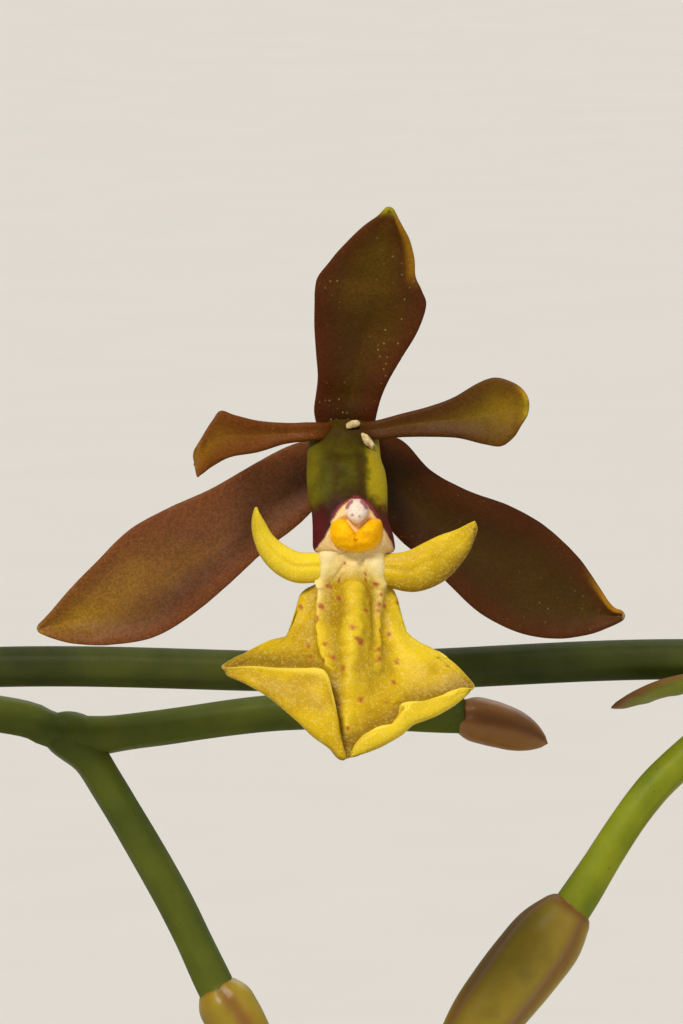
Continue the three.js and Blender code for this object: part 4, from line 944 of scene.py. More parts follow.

# %% [markdown]
# ## The column
#
# An orchid's column is its stamens and pistil grown into one. Its back is green and yellow with
# brown stripes, and its top, where the tepals meet over it, is darkened with the stripes' brown as
# painted shade. Towards the end it is dark purple, and there a cream hood with a magenta line round
# it holds the anther under an orange cap shaped like a heart. A pale tooth hangs over the cap.
#
# All three are firm, living flesh: a refractive index of 1.45, and a skin with only a soft gloss, as
# nothing on them is wet.

# %% Column flesh, anther cap and tooth
def flower_flesh(name, low, high, layers, roughness, scatter):
    """Firm flower flesh whose ground wavers between two tones, with painted layers over it."""
    flesh, place = new_material(name)
    tone = add_node(flesh, "TexNoise", {"Vector": place, "Scale": per_mm(0.9), "Detail": 3})
    tone = add_node(flesh, "MapRange", [tone, 0.3, 0.7, 0, 1])
    tone = add_node(flesh, "Mix", {0: tone, 6: low, 7: high}, **COLOURS)
    for key, colour in layers:
        share = add_node(flesh, "Attribute", output="Fac", attribute_name=key)
        tone = add_node(flesh, "Mix", {0: share, 6: tone, 7: colour}, **COLOURS)
    cells = {"Vector": place, "Scale": per_mm(CELL)}
    light = add_node(flesh, "SeparateColor", [add_node(flesh, "TexVoronoi", cells, output="Color")])
    light = add_node(flesh, "MapRange", [light, 0, 1, 0.9, 1.1])
    tone = add_node(flesh, "VectorMath", {0: tone, "Scale": light}, operation="SCALE")
    swell = add_node(flesh, "TexNoise", {"Vector": place, "Scale": per_mm(0.5), "Detail": 3})
    facing = add_node(flesh, "NewGeometry", output="Normal")
    facing = add_node(flesh, "Bump", {"Height": swell, "Distance": 0.03 * MM, "Normal": facing})
    return finish(flesh, {
        "Base Color": tone,
        "Roughness": roughness,
        "IOR": 1.45,
        "Specular IOR Level": 0.1,
        "Normal": facing,
        "Subsurface Weight": scatter,
        "Subsurface Radius": (1.0, 0.5, 0.2),
        "Subsurface Scale": 0.0006,
    })


COLUMN_LAYERS = (
    ("flank", "#a08c12"),
    # The stripes' brown also serves as painted shade on the column's top.
    ("stripe", "#3c2408"),
    ("purple", "#341208"),
    ("crimson", "#5c1420"),
    ("cream", "#f0cc8c"),
    ("magenta", "#97304c"),
)
column_flesh = flower_flesh("column_green_and_purple", "#3c3205", "#545008", COLUMN_LAYERS, 0.55, 0.06)
# The cap's groove colour, a darker orange, is painted shade.
cap_flesh = flower_flesh("anther_cap_orange", "#f0aa04", "#fcc206", [("groove", "#c8760a")], 0.4, 0.2)
tooth_flesh = flower_flesh("tooth_white", "#e4ccb4", "#f2e6da", [("magenta", "#9c3a5c")], 0.4, 0.3)
print("column finishes:", column_flesh.name, cap_flesh.name, tooth_flesh.name)

# %% [markdown]
# The column is skinned over level rings. Its front is pressed in around the anther, which leaves a
# raised rim like a hood. The colours' borders are worked out from each point's place on the front.

# %% Column shape
# Each ring: height, left and right edge, depth of the middle, half depth.
COLUMN_RINGS = [
    (0.42, -0.45, 0.5, 0.2, 0.25),
    (0.28, -0.8, 0.95, 0.15, 0.42),
    (0.0, -1.12, 1.2, 0.0, 0.62),
    (-0.44, -1.48, 1.32, -0.2, 0.78),
    (-1.16, -1.56, 1.4, -0.8, 1.0),
    (-1.64, -1.58, 1.56, -1.15, 1.06),
    (-2.24, -1.56, 1.64, -1.55, 1.12),
    (-2.8, -1.5, 1.65, -1.9, 1.15),
    (-3.24, -1.38, 1.66, -2.12, 1.14),
    (-3.68, -1.34, 1.72, -2.3, 1.08),
    (-4.16, -1.33, 1.87, -2.45, 1.0),
    (-4.66, -1.32, 1.95, -2.5, 0.8),
    (-4.86, -1.22, 1.88, -2.5, 0.6),
    (-4.95, -1.0, 1.65, -2.5, 0.4),
]
# The cream hood as seen from the front: a height, and its left and right edge there.
HOOD = [
    (-4.8, -1.26, 1.96),
    (-4.6, -1.1, 1.88),
    (-4.3, -0.88, 1.74),
    (-4.03, -0.73, 1.58),
    (-3.6, -0.56, 1.3),
    (-3.31, -0.39, 1.08),
    (-3.02, -0.16, 0.9),
    (-2.85, 0.08, 0.7),
    (-2.76, 0.2, 0.6),
    (-2.7, 0.4, 0.42),
]
CAP_SEAT = (0.4, -4.2, 1.2, 0.9)  # middle and half sizes of the dip that the anther cap lies in


def column_body(rows, sides):
    rings = smooth_path(COLUMN_RINGS, rows)
    level, left, right, depth, half_depth = rings.T[..., None]
    angles = np.linspace(0, 2 * math.pi, sides, endpoint=False)[None, :]
    across = np.sign(np.cos(angles)) * np.abs(np.cos(angles)) ** 0.9
    x = (left + right) / 2 + (right - left) / 2 * across
    y = depth + half_depth * np.sign(np.sin(angles)) * np.abs(np.sin(angles)) ** 0.95
    z = level + 0 * x
    front = np.clip(-np.sin(angles), 0, 1) ** 0.5
    heights, hood_left, hood_right = np.array(HOOD).T
    inside = np.minimum(x - np.interp(z, heights, hood_left), np.interp(z, heights, hood_right) - x)
    seat = ease((1 - np.hypot((x - CAP_SEAT[0]) / CAP_SEAT[2], (z - CAP_SEAT[1]) / CAP_SEAT[3])) / 0.3)
    rim = ease(inside / 0.12) * ease((-2.7 - z) / 0.2)
    y = y + front * (0.24 * seat - 0.1 * rim) + 0.03 * ripples(np.stack([x, y, z], -1), 1.0, 8)
    grain = 0.05 * ripples(np.stack([x, y, z], -1), 0.35, 9)
    right_stripe = 0.75 * ease((0.32 - np.abs(x - 0.58) + 0.5 * grain) / 0.26) * ease((-0.5 - z) / 0.8)
    left_stripe = 0.55 * ease((0.26 - np.abs(x + 0.42) + 0.5 * grain) / 0.24) * ease((-0.5 - z) / 0.8)
    # Painted shade: the top of the column, where the tepals meet over it, gets the stripes' brown and less of
    # the flank colour.
    top = 0.75 * ease((z + 1.1) / 1.2)
    arch = -2.15 - 0.25 * (x - 0.2) ** 2
    flanks = np.maximum(ease((x - 0.7 + grain) / 0.35), 0.2 * ease((-0.9 - x + grain) / 0.4))
    values = {
        "flank": flanks * (1 - 0.7 * top),
        "stripe": front * np.maximum(np.maximum(right_stripe, left_stripe), top),
        "purple": 0.92 * ease((arch - z + 1.5 * grain) / 0.75),
        "crimson": 0.7 * ease((-2.7 - z) / 1.2) * ease((np.abs(x - 0.25) - 0.8) / 0.5),
        "cream": front * ease((inside + 0.3 * grain) / 0.05) * ease((-2.74 - z) / 0.05),
        "magenta": 0.85 * front * hump(inside + 0.05, 0.07) * ease((z + 3.8) / 0.6) * ease((-2.6 - z) / 0.08),
    }
    points, faces = turned_over(*round_body(np.stack([x, y, z], -1)))
    values = {key: np.concatenate([grid.ravel(), grid[0, :1], grid[-1, :1]]) for key, grid in values.items()}
    return points, faces, values


print("the column runs from", COLUMN_RINGS[0][0], "down to", COLUMN_RINGS[-1][0], "mm")

# %% [markdown]
# The anther cap is a waxy lid over the pollen. It could be a ball pressed to shape, but that would
# lose the corners of its heart, so it is a pillow skinned over the heart's outline.

# %% The anther cap
CAP_MIDDLE = (0.4, -3.02, -4.4)
CAP_OUTLINE = [
    (0.40, -4.06), (0.18, -3.84), (-0.04, -3.58), (-0.36, -3.54), (-0.58, -3.68), (-0.67, -4.02),
    (-0.60, -4.40), (-0.36, -4.67), (0.32, -4.90), (1.08, -4.74), (1.40, -4.40), (1.47, -3.96),
    (1.40, -3.64), (1.22, -3.54), (0.92, -3.60), (0.62, -3.86),
]


def cap_body(rows, sides):
    """A pillow over the heart's outline, fullest in its two lobes, with painted shade in the groove between
    them.
    """
    outline = smooth_path(CAP_OUTLINE[-1:] + CAP_OUTLINE + CAP_OUTLINE[:1], 18 * sides // 16 + 1)
    outline = outline[sides // 16 : sides // 16 + sides] - np.array(CAP_MIDDLE)[[0, 2]]
    polar = np.linspace(0.004, math.pi - 0.004, rows)[:, None]
    reach = np.sin(polar) ** 0.75
    x, z = outline[:, 0] * reach, outline[:, 1] * reach
    groove = hump(x, 0.09)
    front = np.cos(polar) > 0
    lobes = 0.14 * hump(np.hypot(np.abs(x) - 0.6, z - 0.35), 0.5)
    y = -0.72 * np.cos(polar) + front * (0.03 * groove - lobes)
    rings = np.stack([x, y + 0.02 * ripples(np.stack([x, y, z], -1), 0.6, 4), z], -1) + CAP_MIDDLE
    points, faces = round_body(rings)
    # Painted shade along the upper part of the groove.
    marks = np.concatenate([(0.3 * groove * ease((z + 0.45) / 0.3)).ravel(), [0, 0]])
    return points, faces, {"groove": marks}


print("corners in the cap's outline:", len(CAP_OUTLINE))

# %% [markdown]
# The tooth is a white drop under the top of the hood. A ball is enough for it, drawn narrower below.

# %% The tooth
TOOTH_AT = (0.42, -3.3, -3.22)
TOOTH_SIZE = 0.46


def tooth_body(rows, sides):
    def drop(x, y, z):
        low = z < 0
        narrow = np.where(low, 1 - 0.3 * z * z, 1)
        forwards = TOOTH_AT[1] + 0.95 * TOOTH_SIZE * y - 0.12 * low * np.abs(z)
        upwards = TOOTH_AT[2] + TOOTH_SIZE * z * np.where(low, 1.15, 1)
        return TOOTH_AT[0] + TOOTH_SIZE * x * narrow, forwards, upwards

    points, faces = ball_body(rows, sides, drop)
    side, up = points[:, 0] - TOOTH_AT[0], points[:, 2] - TOOTH_AT[2]
    crescents = ease((np.hypot(side, up) - 0.28) / 0.08) * ease(up / 0.1) * ease((np.abs(side) - 0.1) / 0.08)
    dots = hump(np.hypot(side + 0.17, up + 0.18), 0.055) + hump(np.hypot(side - 0.12, up + 0.24), 0.05)
    return points, faces, {"magenta": 0.85 * np.clip(dots + crescents, 0, 1)}


print("the tooth is", 2 * TOOTH_SIZE, "mm across")


# %% The column put together
def add_column(number, fineness, where, flip=1):
    rows, sides = int(160 * fineness), 16 * int(9 * fineness)
    column, cap, tooth = f"bloom_{number}_column", f"bloom_{number}_anther_cap", f"bloom_{number}_tooth"
    for name, body, flesh, slot, stands_for in (
        ("fine_" + column, column_body(rows, sides), column_flesh, "column", [column]),
        ("fine_" + cap, cap_body(rows // 3, sides), cap_flesh, "anther", [cap]),
        (tooth, tooth_body(rows // 3, sides // 2), tooth_flesh, "column", ()),
    ):
        add_piece(name, *mirrored(body[:2], flip), flesh, slot, stands_for, body[2], where)


add_column(1, 1.0, main_place)

# %% [markdown]
# Two crumbs lie where the tepals meet. They are dried pollen mixed with bark dust, which is rough
# all over and scatters the light like chalk.

# %% Crumbs at the heart of the bloom
crumb_dust, place = new_material("dried_pollen_crumb")
lumps = add_node(crumb_dust, "TexNoise", {"Vector": place, "Scale": per_mm(0.2), "Detail": 3})
share = add_node(crumb_dust, "MapRange", [lumps, 0.3, 0.7, 0, 1])
tone = add_node(crumb_dust, "Mix", {0: share, 6: "#b79a62", 7: "#e6d5a4"}, **COLOURS)
facing = add_node(crumb_dust, "Bump", {"Height": lumps, "Distance": 0.05 * MM})
finish(crumb_dust, {"Base Color": tone, "Roughness": 0.85, "IOR": 1.5, "Normal": facing})


def crumb(at, half_length, half_width, lean, seed):
    lean = math.radians(lean)

    def lumpy(x, y, z):
        swell = 1 + 0.14 * ripples(np.stack([x, y, z], -1), 1.1, seed)
        u, v, w = half_length * x * swell, half_width * z * swell, half_width * y * swell
        cosine, sine = math.cos(lean), math.sin(lean)
        return at[0] + u * cosine - v * sine, at[1] + w, at[2] + u * sine + v * cosine

    return ball_body(14, 20, lumpy)


crumbs = [crumb((0.28, -0.62, 0.22), 0.3, 0.15, 8, 1), crumb((0.86, -1.2, -0.42), 0.36, 0.16, -52, 2)]
add_piece("pollen_crumbs", *put_together(crumbs), crumb_dust, "column", (), None, main_place)
print("crumbs:", len(crumbs))

# %% [markdown]
# ## The other open blooms
#
# The older blooms further down the stem are the same flower, seen from other sides, with their
# tepals a little further open or closed.

# %% Other blooms
BLOOMS = {
    2: dict(at=Vector((-46, -11, 234)), foot=(-36, -5, 224), pitch=4, yaw=-65, flip=-1, back=0.06),
    3: dict(at=Vector((-16, -1, 251)), foot=(-20, -11, 241), pitch=-12, yaw=168, flip=1, back=0.12),
    4: dict(at=Vector((-7, -23, 256)), foot=(-4, -13, 247), pitch=8, yaw=-24, flip=-1, back=-0.08),
}
for number, bloom in BLOOMS.items():
    where = bloom["where"] = bloom_place(bloom["at"], bloom["pitch"], bloom["yaw"])
    for name in TEPALS:
        points, faces, values, skin = make_tepal(name, 44, 26, number, bloom["flip"], bloom["back"])
        node = [f"bloom_{number}_tepals"]
        add_piece(f"bloom_{number}_{name}", points, faces, skin, "tepal", node, values, where)
    add_lip(number, 0.36, where, bloom["flip"])
    add_column(number, 0.4, where, bloom["flip"])
print("other blooms:", len(BLOOMS))

# %% [markdown]
# ## The flower stem
#
# The stem is wiry, dark green and a little purple where the light is strong. Every bloom and bud has
# its own stalk, which starts at a bract and swells to the ovary behind the bloom.
#
# A stem's skin is hard and waxed, with fine lengthwise ribs and small brown breathing dots. The wax
# gives it a refractive index of 1.45 and a half-matte shine.

# %% Stem skins
def stem_skin(name, low, high):
    skin, place = new_material(name)
    clouds = add_node(skin, "TexNoise", {"Vector": place, "Scale": per_mm(2.5), "Detail": 4})
    clouds = add_node(skin, "MapRange", [clouds, 0.3, 0.7, 0, 1])
    tone = add_node(skin, "Mix", {0: clouds, 6: low, 7: high}, **COLOURS)
    dots = add_node(skin, "TexVoronoi", {"Vector": place, "Scale": per_mm(0.55)}, output="Distance")
    dots = add_node(skin, "MapRange", [dots, 0.04, 0.12, 0.5, 0])
    tone = add_node(skin, "Mix", {0: dots, 6: tone, 7: "#3b1d0c"}, **COLOURS)
    swell = add_node(skin, "TexNoise", {"Vector": place, "Scale": per_mm(0.5), "Detail": 3})
    facing = add_node(skin, "Bump", {"Height": swell, "Distance": 0.02 * MM})
    return finish(skin, {
        "Base Color": tone,
        "Roughness": 0.55,
        "IOR": 1.45,
        "Specular IOR Level": 0.25,
        "Normal": facing,
        "Subsurface Weight": 0.1,
        "Subsurface Scale": 0.0006,
    })


stem_green = stem_skin("stem_dark_green", "#2c3306", "#434a0e")
stalk_green = stem_skin("stalk_yellow_green", "#67760c", "#8f9414")
branch_green = stem_skin("branch_olive_green", "#3f4a0c", "#586010")

# A bract is a scale leaf that dries from its edge inwards: green flesh, then brown, dull paper.
bract_scale, place = new_material("bract_drying_scale")
at_rim = add_node(bract_scale, "Attribute", output="Fac", attribute_name="rim")
dried = add_node(bract_scale, "MapRange", [at_rim, 0.0, 0.35, 1, 0])
tone = add_node(bract_scale, "Mix", {0: dried, 6: "#7f8722", 7: "#7a4a1c"}, **COLOURS)
fibres = add_node(bract_scale, "TexNoise", {"Vector": place, "Scale": per_mm(0.5), "Detail": 3})
facing = add_node(bract_scale, "Bump", {"Height": fibres, "Distance": 0.05 * MM})
finish(bract_scale, {"Base Color": tone, "Roughness": 0.6, "IOR": 1.45, "Normal": facing})
print("stem finishes:", stem_green.name, stalk_green.name, branch_green.name, bract_scale.name)

# %% Stem routes
STEM_PATH = [
    (-25.4, 6.2, 123.6),
    (-31, 7, 150),
    (-37, 4, 185),
    (-37, -3, 216),
    (-25, -10, 238),
    (-6, -13, 246.5),
    near(-14.1, 10, -9.6),
    near(0, 10, -9.8),
    near(13.8, 10, -9.3),
    (55, -12, 247),
    (71, -10, 241),
    (82, -8, 231),
]
BRANCH_PATH = [
    (-10, -12.5, 245.5),
    near(-23, 13, -10.6),
    near(-14.2, 14, -11.6),
    near(-12.2, 14, -12.2),
    near(-11.2, 14, -12.5),
]
FORK_AT = near(-11.1, 14, -12.45)
NEAR_STALKS = [
    [near(-12.9, 14, -12.05), near(-10.9, 14, -12.5), near(-8, 14, -12.2), near(-2.3, 14, -11.5),
     near(4.5, 14, -11.6)],
    [near(-12.6, 14, -12.1), near(-10.9, 14, -13.0), near(-9.7, 14, -14.7), near(-7.2, 14, -19),
     near(-5.4, 14, -22.7)],
    [near(15.6, 10, -9.3), near(16.4, 9.2, -10.9), near(12.4, 8, -14.6), near(9.3, 8, -19.2)],
]
NEAR_BUDS = [
    ([near(4.5, 14, -11.6), near(6.4, 14, -12.1), near(8.3, 14, -12.8)], 0.95),
    ([near(-5.4, 14, -22.7), near(-4.3, 14, -24.6), near(-3.2, 14, -26.4)], 1.2),
    ([near(9.3, 8, -19.2), near(6.5, 8, -22.7), near(3.5, 8, -26.6)], 1.55),
]
TIP_BUDS = [
    dict(along=0.855, way=(0.45, -0.75, 0.35), stalk=9, length=8.6, girth=1.5),
    dict(along=0.9, way=(0.5, 0.7, 0.45), stalk=8, length=7.6, girth=1.4),
    dict(along=0.935, way=(0.75, -0.6, 0.15), stalk=6.5, length=6.6, girth=1.2),
    dict(along=0.965, way=(0.6, 0.7, 0.1), stalk=5, length=5.6, girth=1.05),
    dict(along=0.995, way=(0.75, -0.1, -0.65), stalk=3, length=4.6, girth=0.9),
]
BRACTS = [(0.18, 9), (0.38, 8), (0.49, 5), (0.56, 4.5), (0.64, 4)]
HANGING_BRACT = dict(foot=near(15.4, 9.6, -10.0), tip=near(11.0, 9.0, -9.2))
OVARY = [(0.5, 6.2, -2.6), (0.3, 3.9, -0.3), (0.1, 2.2, 0.4), (0, 0.95, 0.3)]
stem_line = even_path(STEM_PATH, 401)
stem_length = float(np.linalg.norm(np.diff(stem_line, axis=0), axis=1).sum())
print("length of the flower stem:", round(stem_length), "mm")

# %% Stem, branch and stalks
def stem_point(share):
    return stem_line[int(round(share * 400))]


def stem_radius(share):
    """Thick at the foot, even along the level stretch, slim at the tip, with a ring at each bract."""
    radius = np.interp(share, [0, 0.6, 0.8, 1], [1.35, 0.82, 0.82, 0.55])
    for at, _ in BRACTS:
        radius += 0.16 * hump((share - at) * 260, 1.4)
    return radius


def ribbed(depth, ribs):
    return lambda share, angles: 1 + depth * np.cos(ribs * angles + 5 * share)


def stalk_path(number):
    where = main_place if number == 1 else BLOOMS[number]["where"]
    upper = [tuple(where @ Vector(p)) for p in OVARY]
    if number == 1:
        return [near(0.1, 10, -9.7), near(0.2, 9, -6), *upper]
    foot = np.array(BLOOMS[number]["foot"])
    nearest = stem_line[np.argmin(np.linalg.norm(stem_line - foot, axis=1))]
    return [tuple(nearest), *upper]


def bloom_stalk(number):
    path = even_path(stalk_path(number), 60)
    share = np.linspace(0, 1, 60)
    ovary = 0.12 * hump(share - 0.75, 0.16)
    radii = 0.55 + 0.27 * share + ovary + 0.35 * np.clip((share - 0.93) / 0.07, 0, 1) ** 2
    return round_body(rings_along(path, radii, 24, ribbed(0.07, 6)))


def bud_stalk(knots, radius=0.72):
    """A bud's stalk. It starts slim inside the stem, and its end runs on into the bud."""
    path = even_path(knots, 48)
    path = np.concatenate([path, [path[-1] + unit(path[-1] - path[-2]) * 0.5 * radius]])
    share = np.linspace(0, 1, 49)
    swollen_foot = 0.16 * hump(share - 0.12, 0.06)
    radii = radius * (0.6 + 0.4 * ease(share / 0.08) + swollen_foot + 0.1 * ease((share - 0.8) / 0.2))
    return round_body(rings_along(path, radii, 20, ribbed(0.05, 6)))


def tip_stalk(bud):
    foot = stem_point(bud["along"])
    tip = foot + unit(np.array(bud["way"], float)) * bud["stalk"]
    bend = (foot + tip) / 2 + np.array([0.05, 0, 0.1]) * bud["stalk"]
    return [foot, bend, tip]


def fork_knot(x, y, z):
    """The swollen joint where the branch parts into two bud stalks."""
    return FORK_AT[0] + 1.3 * x, FORK_AT[1] + 0.9 * y, FORK_AT[2] + 0.95 * z - 0.25 * x


shares = np.linspace(0, 1, 401)
stem = round_body(rings_along(stem_line, stem_radius(shares), 28, ribbed(0.03, 7)))
add_piece("fine_flower_stem", *stem, stem_green, "stem", ["flower_stem"])
branch_line = even_path(BRANCH_PATH, 60)
branch = [round_body(rings_along(branch_line, np.full(60, 0.75), 20, ribbed(0.04, 6)))]
branch += [bud_stalk(knots) for knots in NEAR_STALKS[:2]] + [ball_body(30, 40, fork_knot)]
add_piece("side_branch", *put_together(branch), branch_green, "stem", ["flower_stem"])
stalks = [bloom_stalk(number) for number in (1, 2, 3, 4)] + [bud_stalk(NEAR_STALKS[2])]
stalks += [bud_stalk(tip_stalk(bud), 0.55) for bud in TIP_BUDS]
add_piece("bloom_and_bud_stalks", *put_together(stalks), stalk_green, "stem", ["flower_stem"])
print("stalks:", len(stalks) + 2)

# %% [markdown]
# A bract is a small pointed leaf that clasps the stem below each stalk. It is a strip bent round the
# stem, green in the middle and dry and brown along its edge.

# %% Bracts
def bract_blade(foot, forward, out, stem_size, length):
    """A clasping scale: a strip that starts narrow, wraps half round the stem and leaves it."""
    side = np.cross(forward, out)
    rows = []
    for share in np.linspace(0, 1, 9):
        wrap = 0.1 + 2.4 * ease(share / 0.35) * (1 - share) ** 0.7
        radius = stem_size - 0.04 + 0.42 * length * share**1.25
        centre = foot + forward * (share * length)
        angles = 0.5 * wrap * np.linspace(-1, 1, 7)[:, None]
        rows.append(centre + radius * (out * np.cos(angles) + side * np.sin(angles)))
    middle = resampled(smooth_patch(rows, 30, 22))
    points, faces = blade(middle, 0.16, 0.03 * ripples(middle, 0.8, 4), tuple(out))
    sides = np.abs(crowded(22))[None, :]
    lengths = np.linspace(0, 1, 30)[:, None]
    rim = np.minimum((1 - sides) * 1.5 * (1 - lengths) + 0 * lengths, (1 - lengths) * length)
    return points, faces, on_blade(rim)


def stem_bract(share, length, out=(0, -0.5, -0.86)):
    foot = stem_point(share)
    forward = unit(stem_point(min(share + 0.01, 1.0)) - foot)
    out = np.array(out, float)
    out = unit(out - forward * (out @ forward))
    return bract_blade(foot, forward, out, float(stem_radius(share)), length)


def hanging_bract():
    foot, tip = np.array(HANGING_BRACT["foot"]), np.array(HANGING_BRACT["tip"])
    forward = unit(tip - foot)
    out = np.array([0, -0.55, -0.83])
    out = unit(out - forward * (out @ forward))
    return bract_blade(foot, forward, out, 0.45, float(np.linalg.norm(tip - foot)))


bracts = [stem_bract(share, length) for share, length in BRACTS] + [hanging_bract()]
bracts += [stem_bract(bud["along"] - 0.004, 3.0, bud["way"]) for bud in TIP_BUDS]
points, faces = put_together([part[:2] for part in bracts])
rims = {"rim": np.concatenate([part[2] for part in bracts])}
add_piece("bracts", points, faces, bract_scale, "stem", ["flower_stem"], rims)
print("bracts:", len(bracts))

# %% [markdown]
# ## The buds
#
# A bud is three sepals closed edge to edge round the petals, so it has three shallow seams. It is
# yellow-green with a brown flush, which is deepest along the seams and at the joint with the stalk.
# The closed sepals are stretched tight, so their wax shines more than on an open tepal.

# %% Buds
def bud_skin(name, low, high, flush):
    skin, place = new_material(name)
    clouds = add_node(skin, "TexNoise", {"Vector": place, "Scale": per_mm(1.8), "Detail": 4})
    seam = add_node(skin, "Attribute", output="Fac", attribute_name="seam")
    shady = add_node(skin, "Attribute", output="Fac", attribute_name="shady")
    patches = add_node(skin, "MapRange", [clouds, 0.5, 0.7, 0, 0.5])
    lighter = add_node(skin, "MapRange", [clouds, 0.3, 0.7, 0, 1])
    tone = low
    for share, colour in ((lighter, high), (shady, low), (patches, flush), (seam, flush)):
        tone = add_node(skin, "Mix", {0: share, 6: tone, 7: colour}, **COLOURS)
    swell = add_node(skin, "TexNoise", {"Vector": place, "Scale": per_mm(0.6), "Detail": 3})
    facing = add_node(skin, "Bump", {"Height": swell, "Distance": 0.04 * MM})
    return finish(skin, {
        "Base Color": tone,
        "Roughness": 0.42,
        "IOR": 1.45,
        "Normal": facing,
        "Subsurface Weight": 0.15,
        "Subsurface Scale": 0.0008,
    })


bud_yellow = bud_skin("bud_yellow_green", "#85700e", "#b79f14", "#7a4a10")
bud_orange = bud_skin("bud_orange_brown", "#8a5c22", "#a87332", "#6a3a14")
BUD_GIRTHS = [0.6, 0.95, 1, 0.97, 0.88, 0.62, 0.14]


def bud_body(knots, girth):
    path = even_path(knots, 44)
    share = np.linspace(0, 1, 44)
    swell = smooth_path(np.array(BUD_GIRTHS)[:, None], 44)[:, 0]
    blunt_end = 1 - 0.9 * ((share - 0.94) / 0.06).clip(0, 1) ** 2
    swell = swell * (0.7 + 0.3 * ease(share / 0.04) ** 0.5) * blunt_end

    def three_seams(at, angles):
        return 1 - 0.10 * np.abs(np.cos(1.5 * angles + 0.6 * at)) ** 14

    rings = rings_along(path, girth * swell, 45, three_seams)
    angles = np.linspace(0, 2 * math.pi, 45, endpoint=False)[None, :]
    seam = 0.8 * np.abs(np.cos(1.5 * angles + 0.6 * share[:, None])) ** 8
    joint = 0.9 * hump(share[:, None] - 0.02, 0.03)
    shady = 0.7 * ease(0.4 + (path[:, None, 0] - rings[..., 0]) / girth)
    points, faces = round_body(rings)
    marks = {"seam": np.maximum(seam, joint), "shady": shady}
    return points, faces, {key: np.concatenate([grid.ravel(), [0, 0]]) for key, grid in marks.items()}


def tip_bud(bud):
    _, bend, tip = tip_stalk(bud)
    way = unit(tip - bend)
    middle = tip + way * (0.3 + bud["length"] / 2)
    return [tip, middle, tip + way * (0.3 + bud["length"]) + np.array([0, 0, -0.5])], bud["girth"]


buds = NEAR_BUDS + [tip_bud(bud) for bud in TIP_BUDS]
for number, (knots, girth) in enumerate(buds, 1):
    points, faces, values = bud_body(knots, girth)
    skin = bud_orange if number == 1 else bud_yellow
    add_piece(f"fine_bud_{number}", points, faces, skin, "bud", [f"bud_{number}"], values)
print("buds:", len(buds))

# %% [markdown]
# ## Pseudobulbs
#
# The stem of this orchid is swollen into pear-shaped water stores. A young pseudobulb is plump,
# smooth and green, and an old one is yellower and furrowed. Its skin is a hard rind with a worn coat
# of wax, so it has a soft sheen and a few corky flecks.

# %% Pseudobulb rind
def bulb_rind(name, low, high, old):
    rind, place = new_material(name)
    clouds = add_node(rind, "TexNoise", {"Vector": place, "Scale": per_mm(9), "Detail": 4})
    clouds = add_node(rind, "MapRange", [clouds, 0.32, 0.68, 0, 1])
    up = add_node(rind, "Attribute", output="Fac", attribute_name="up")
    foot = add_node(rind, "MapRange", [up, 0.0, 0.3, 0.7, 0])
    flecks = add_node(rind, "TexNoise", {"Vector": place, "Scale": per_mm(0.7), "Detail": 2})
    flecks = add_node(rind, "MapRange", [flecks, 0.66, 0.72, 0, 0.5])
    tone = low
    for share, colour in ((clouds, high), (foot, old), (flecks, old)):
        tone = add_node(rind, "Mix", {0: share, 6: tone, 7: colour}, **COLOURS)
    swell = add_node(rind, "TexNoise", {"Vector": place, "Scale": per_mm(1.5), "Detail": 4})
    facing = add_node(rind, "Bump", {"Height": swell, "Distance": 0.08 * MM})
    return finish(rind, {
        "Base Color": tone,
        "Roughness": 0.38,
        "IOR": 1.45,
        "Normal": facing,
        "Subsurface Weight": 0.08,
        "Subsurface Scale": 0.0012,
    })


bulb_green = bulb_rind("pseudobulb_rind_green", "#5d7224", "#86983c", "#a09a58")
bulb_old = bulb_rind("pseudobulb_rind_old", "#8a8040", "#a79a54", "#8a6a3c")
PSEUDOBULBS = [
    dict(foot=(-19, 3, 77), top=(-25, 6, 123), girth=8.6, furrow=0.03),
    dict(foot=(-1, -9, 77), top=(-4, -15, 119), girth=8.2, furrow=0.035),
    dict(foot=(17, 3, 77), top=(23, 4, 116), girth=7.8, furrow=0.04),
    dict(foot=(1, 19, 77), top=(2, 25, 114), girth=7.6, furrow=0.05),
    dict(foot=(26, -14, 77), top=(31, -19, 105), girth=6.2, furrow=0.02),
    dict(foot=(-25, 24, 77), top=(-31, 29, 104), girth=7.2, furrow=0.12),
]
BULB_GIRTHS = [0.42, 0.84, 1, 0.86, 0.63, 0.43, 0.32]


def bulb_size(share, girth):
    """The radius of a pseudobulb at a share of its height."""
    fine = smooth_path(np.array(BULB_GIRTHS)[:, None], 200)[:, 0]
    return girth * np.interp(share, np.linspace(0, 1, 200), fine)


def bulb_body(bulb, seed):
    rows, sides = 60, 64
    share = np.linspace(0, 1, rows)
    path = np.array(bulb["foot"]) + share[:, None] * (np.array(bulb["top"]) - np.array(bulb["foot"]))
    radii = bulb_size(share, bulb["girth"]) * np.where(share > 0.985, 0.75, 1)
    draw = np.random.default_rng(seed)
    tilt, phase = draw.uniform(0, 6.28, 2)

    def furrows(at, angles):
        folds = np.cos(9 * angles + tilt + 1.5 * np.sin(2 * angles + phase))
        folds = folds - 0.4 * np.cos(16 * angles + phase)
        rings = 0.012 * hump(at - 0.12, 0.01) + 0.02 * hump(at - 0.97, 0.012)
        return 1 - bulb["furrow"] * np.maximum(folds, -0.2) * math.sin(math.pi * min(1, at * 1.15)) + rings

    points, faces = round_body(rings_along(path, radii, sides, furrows))
    return points, faces, {"up": np.concatenate([np.repeat(share, sides), [0], [1]])}


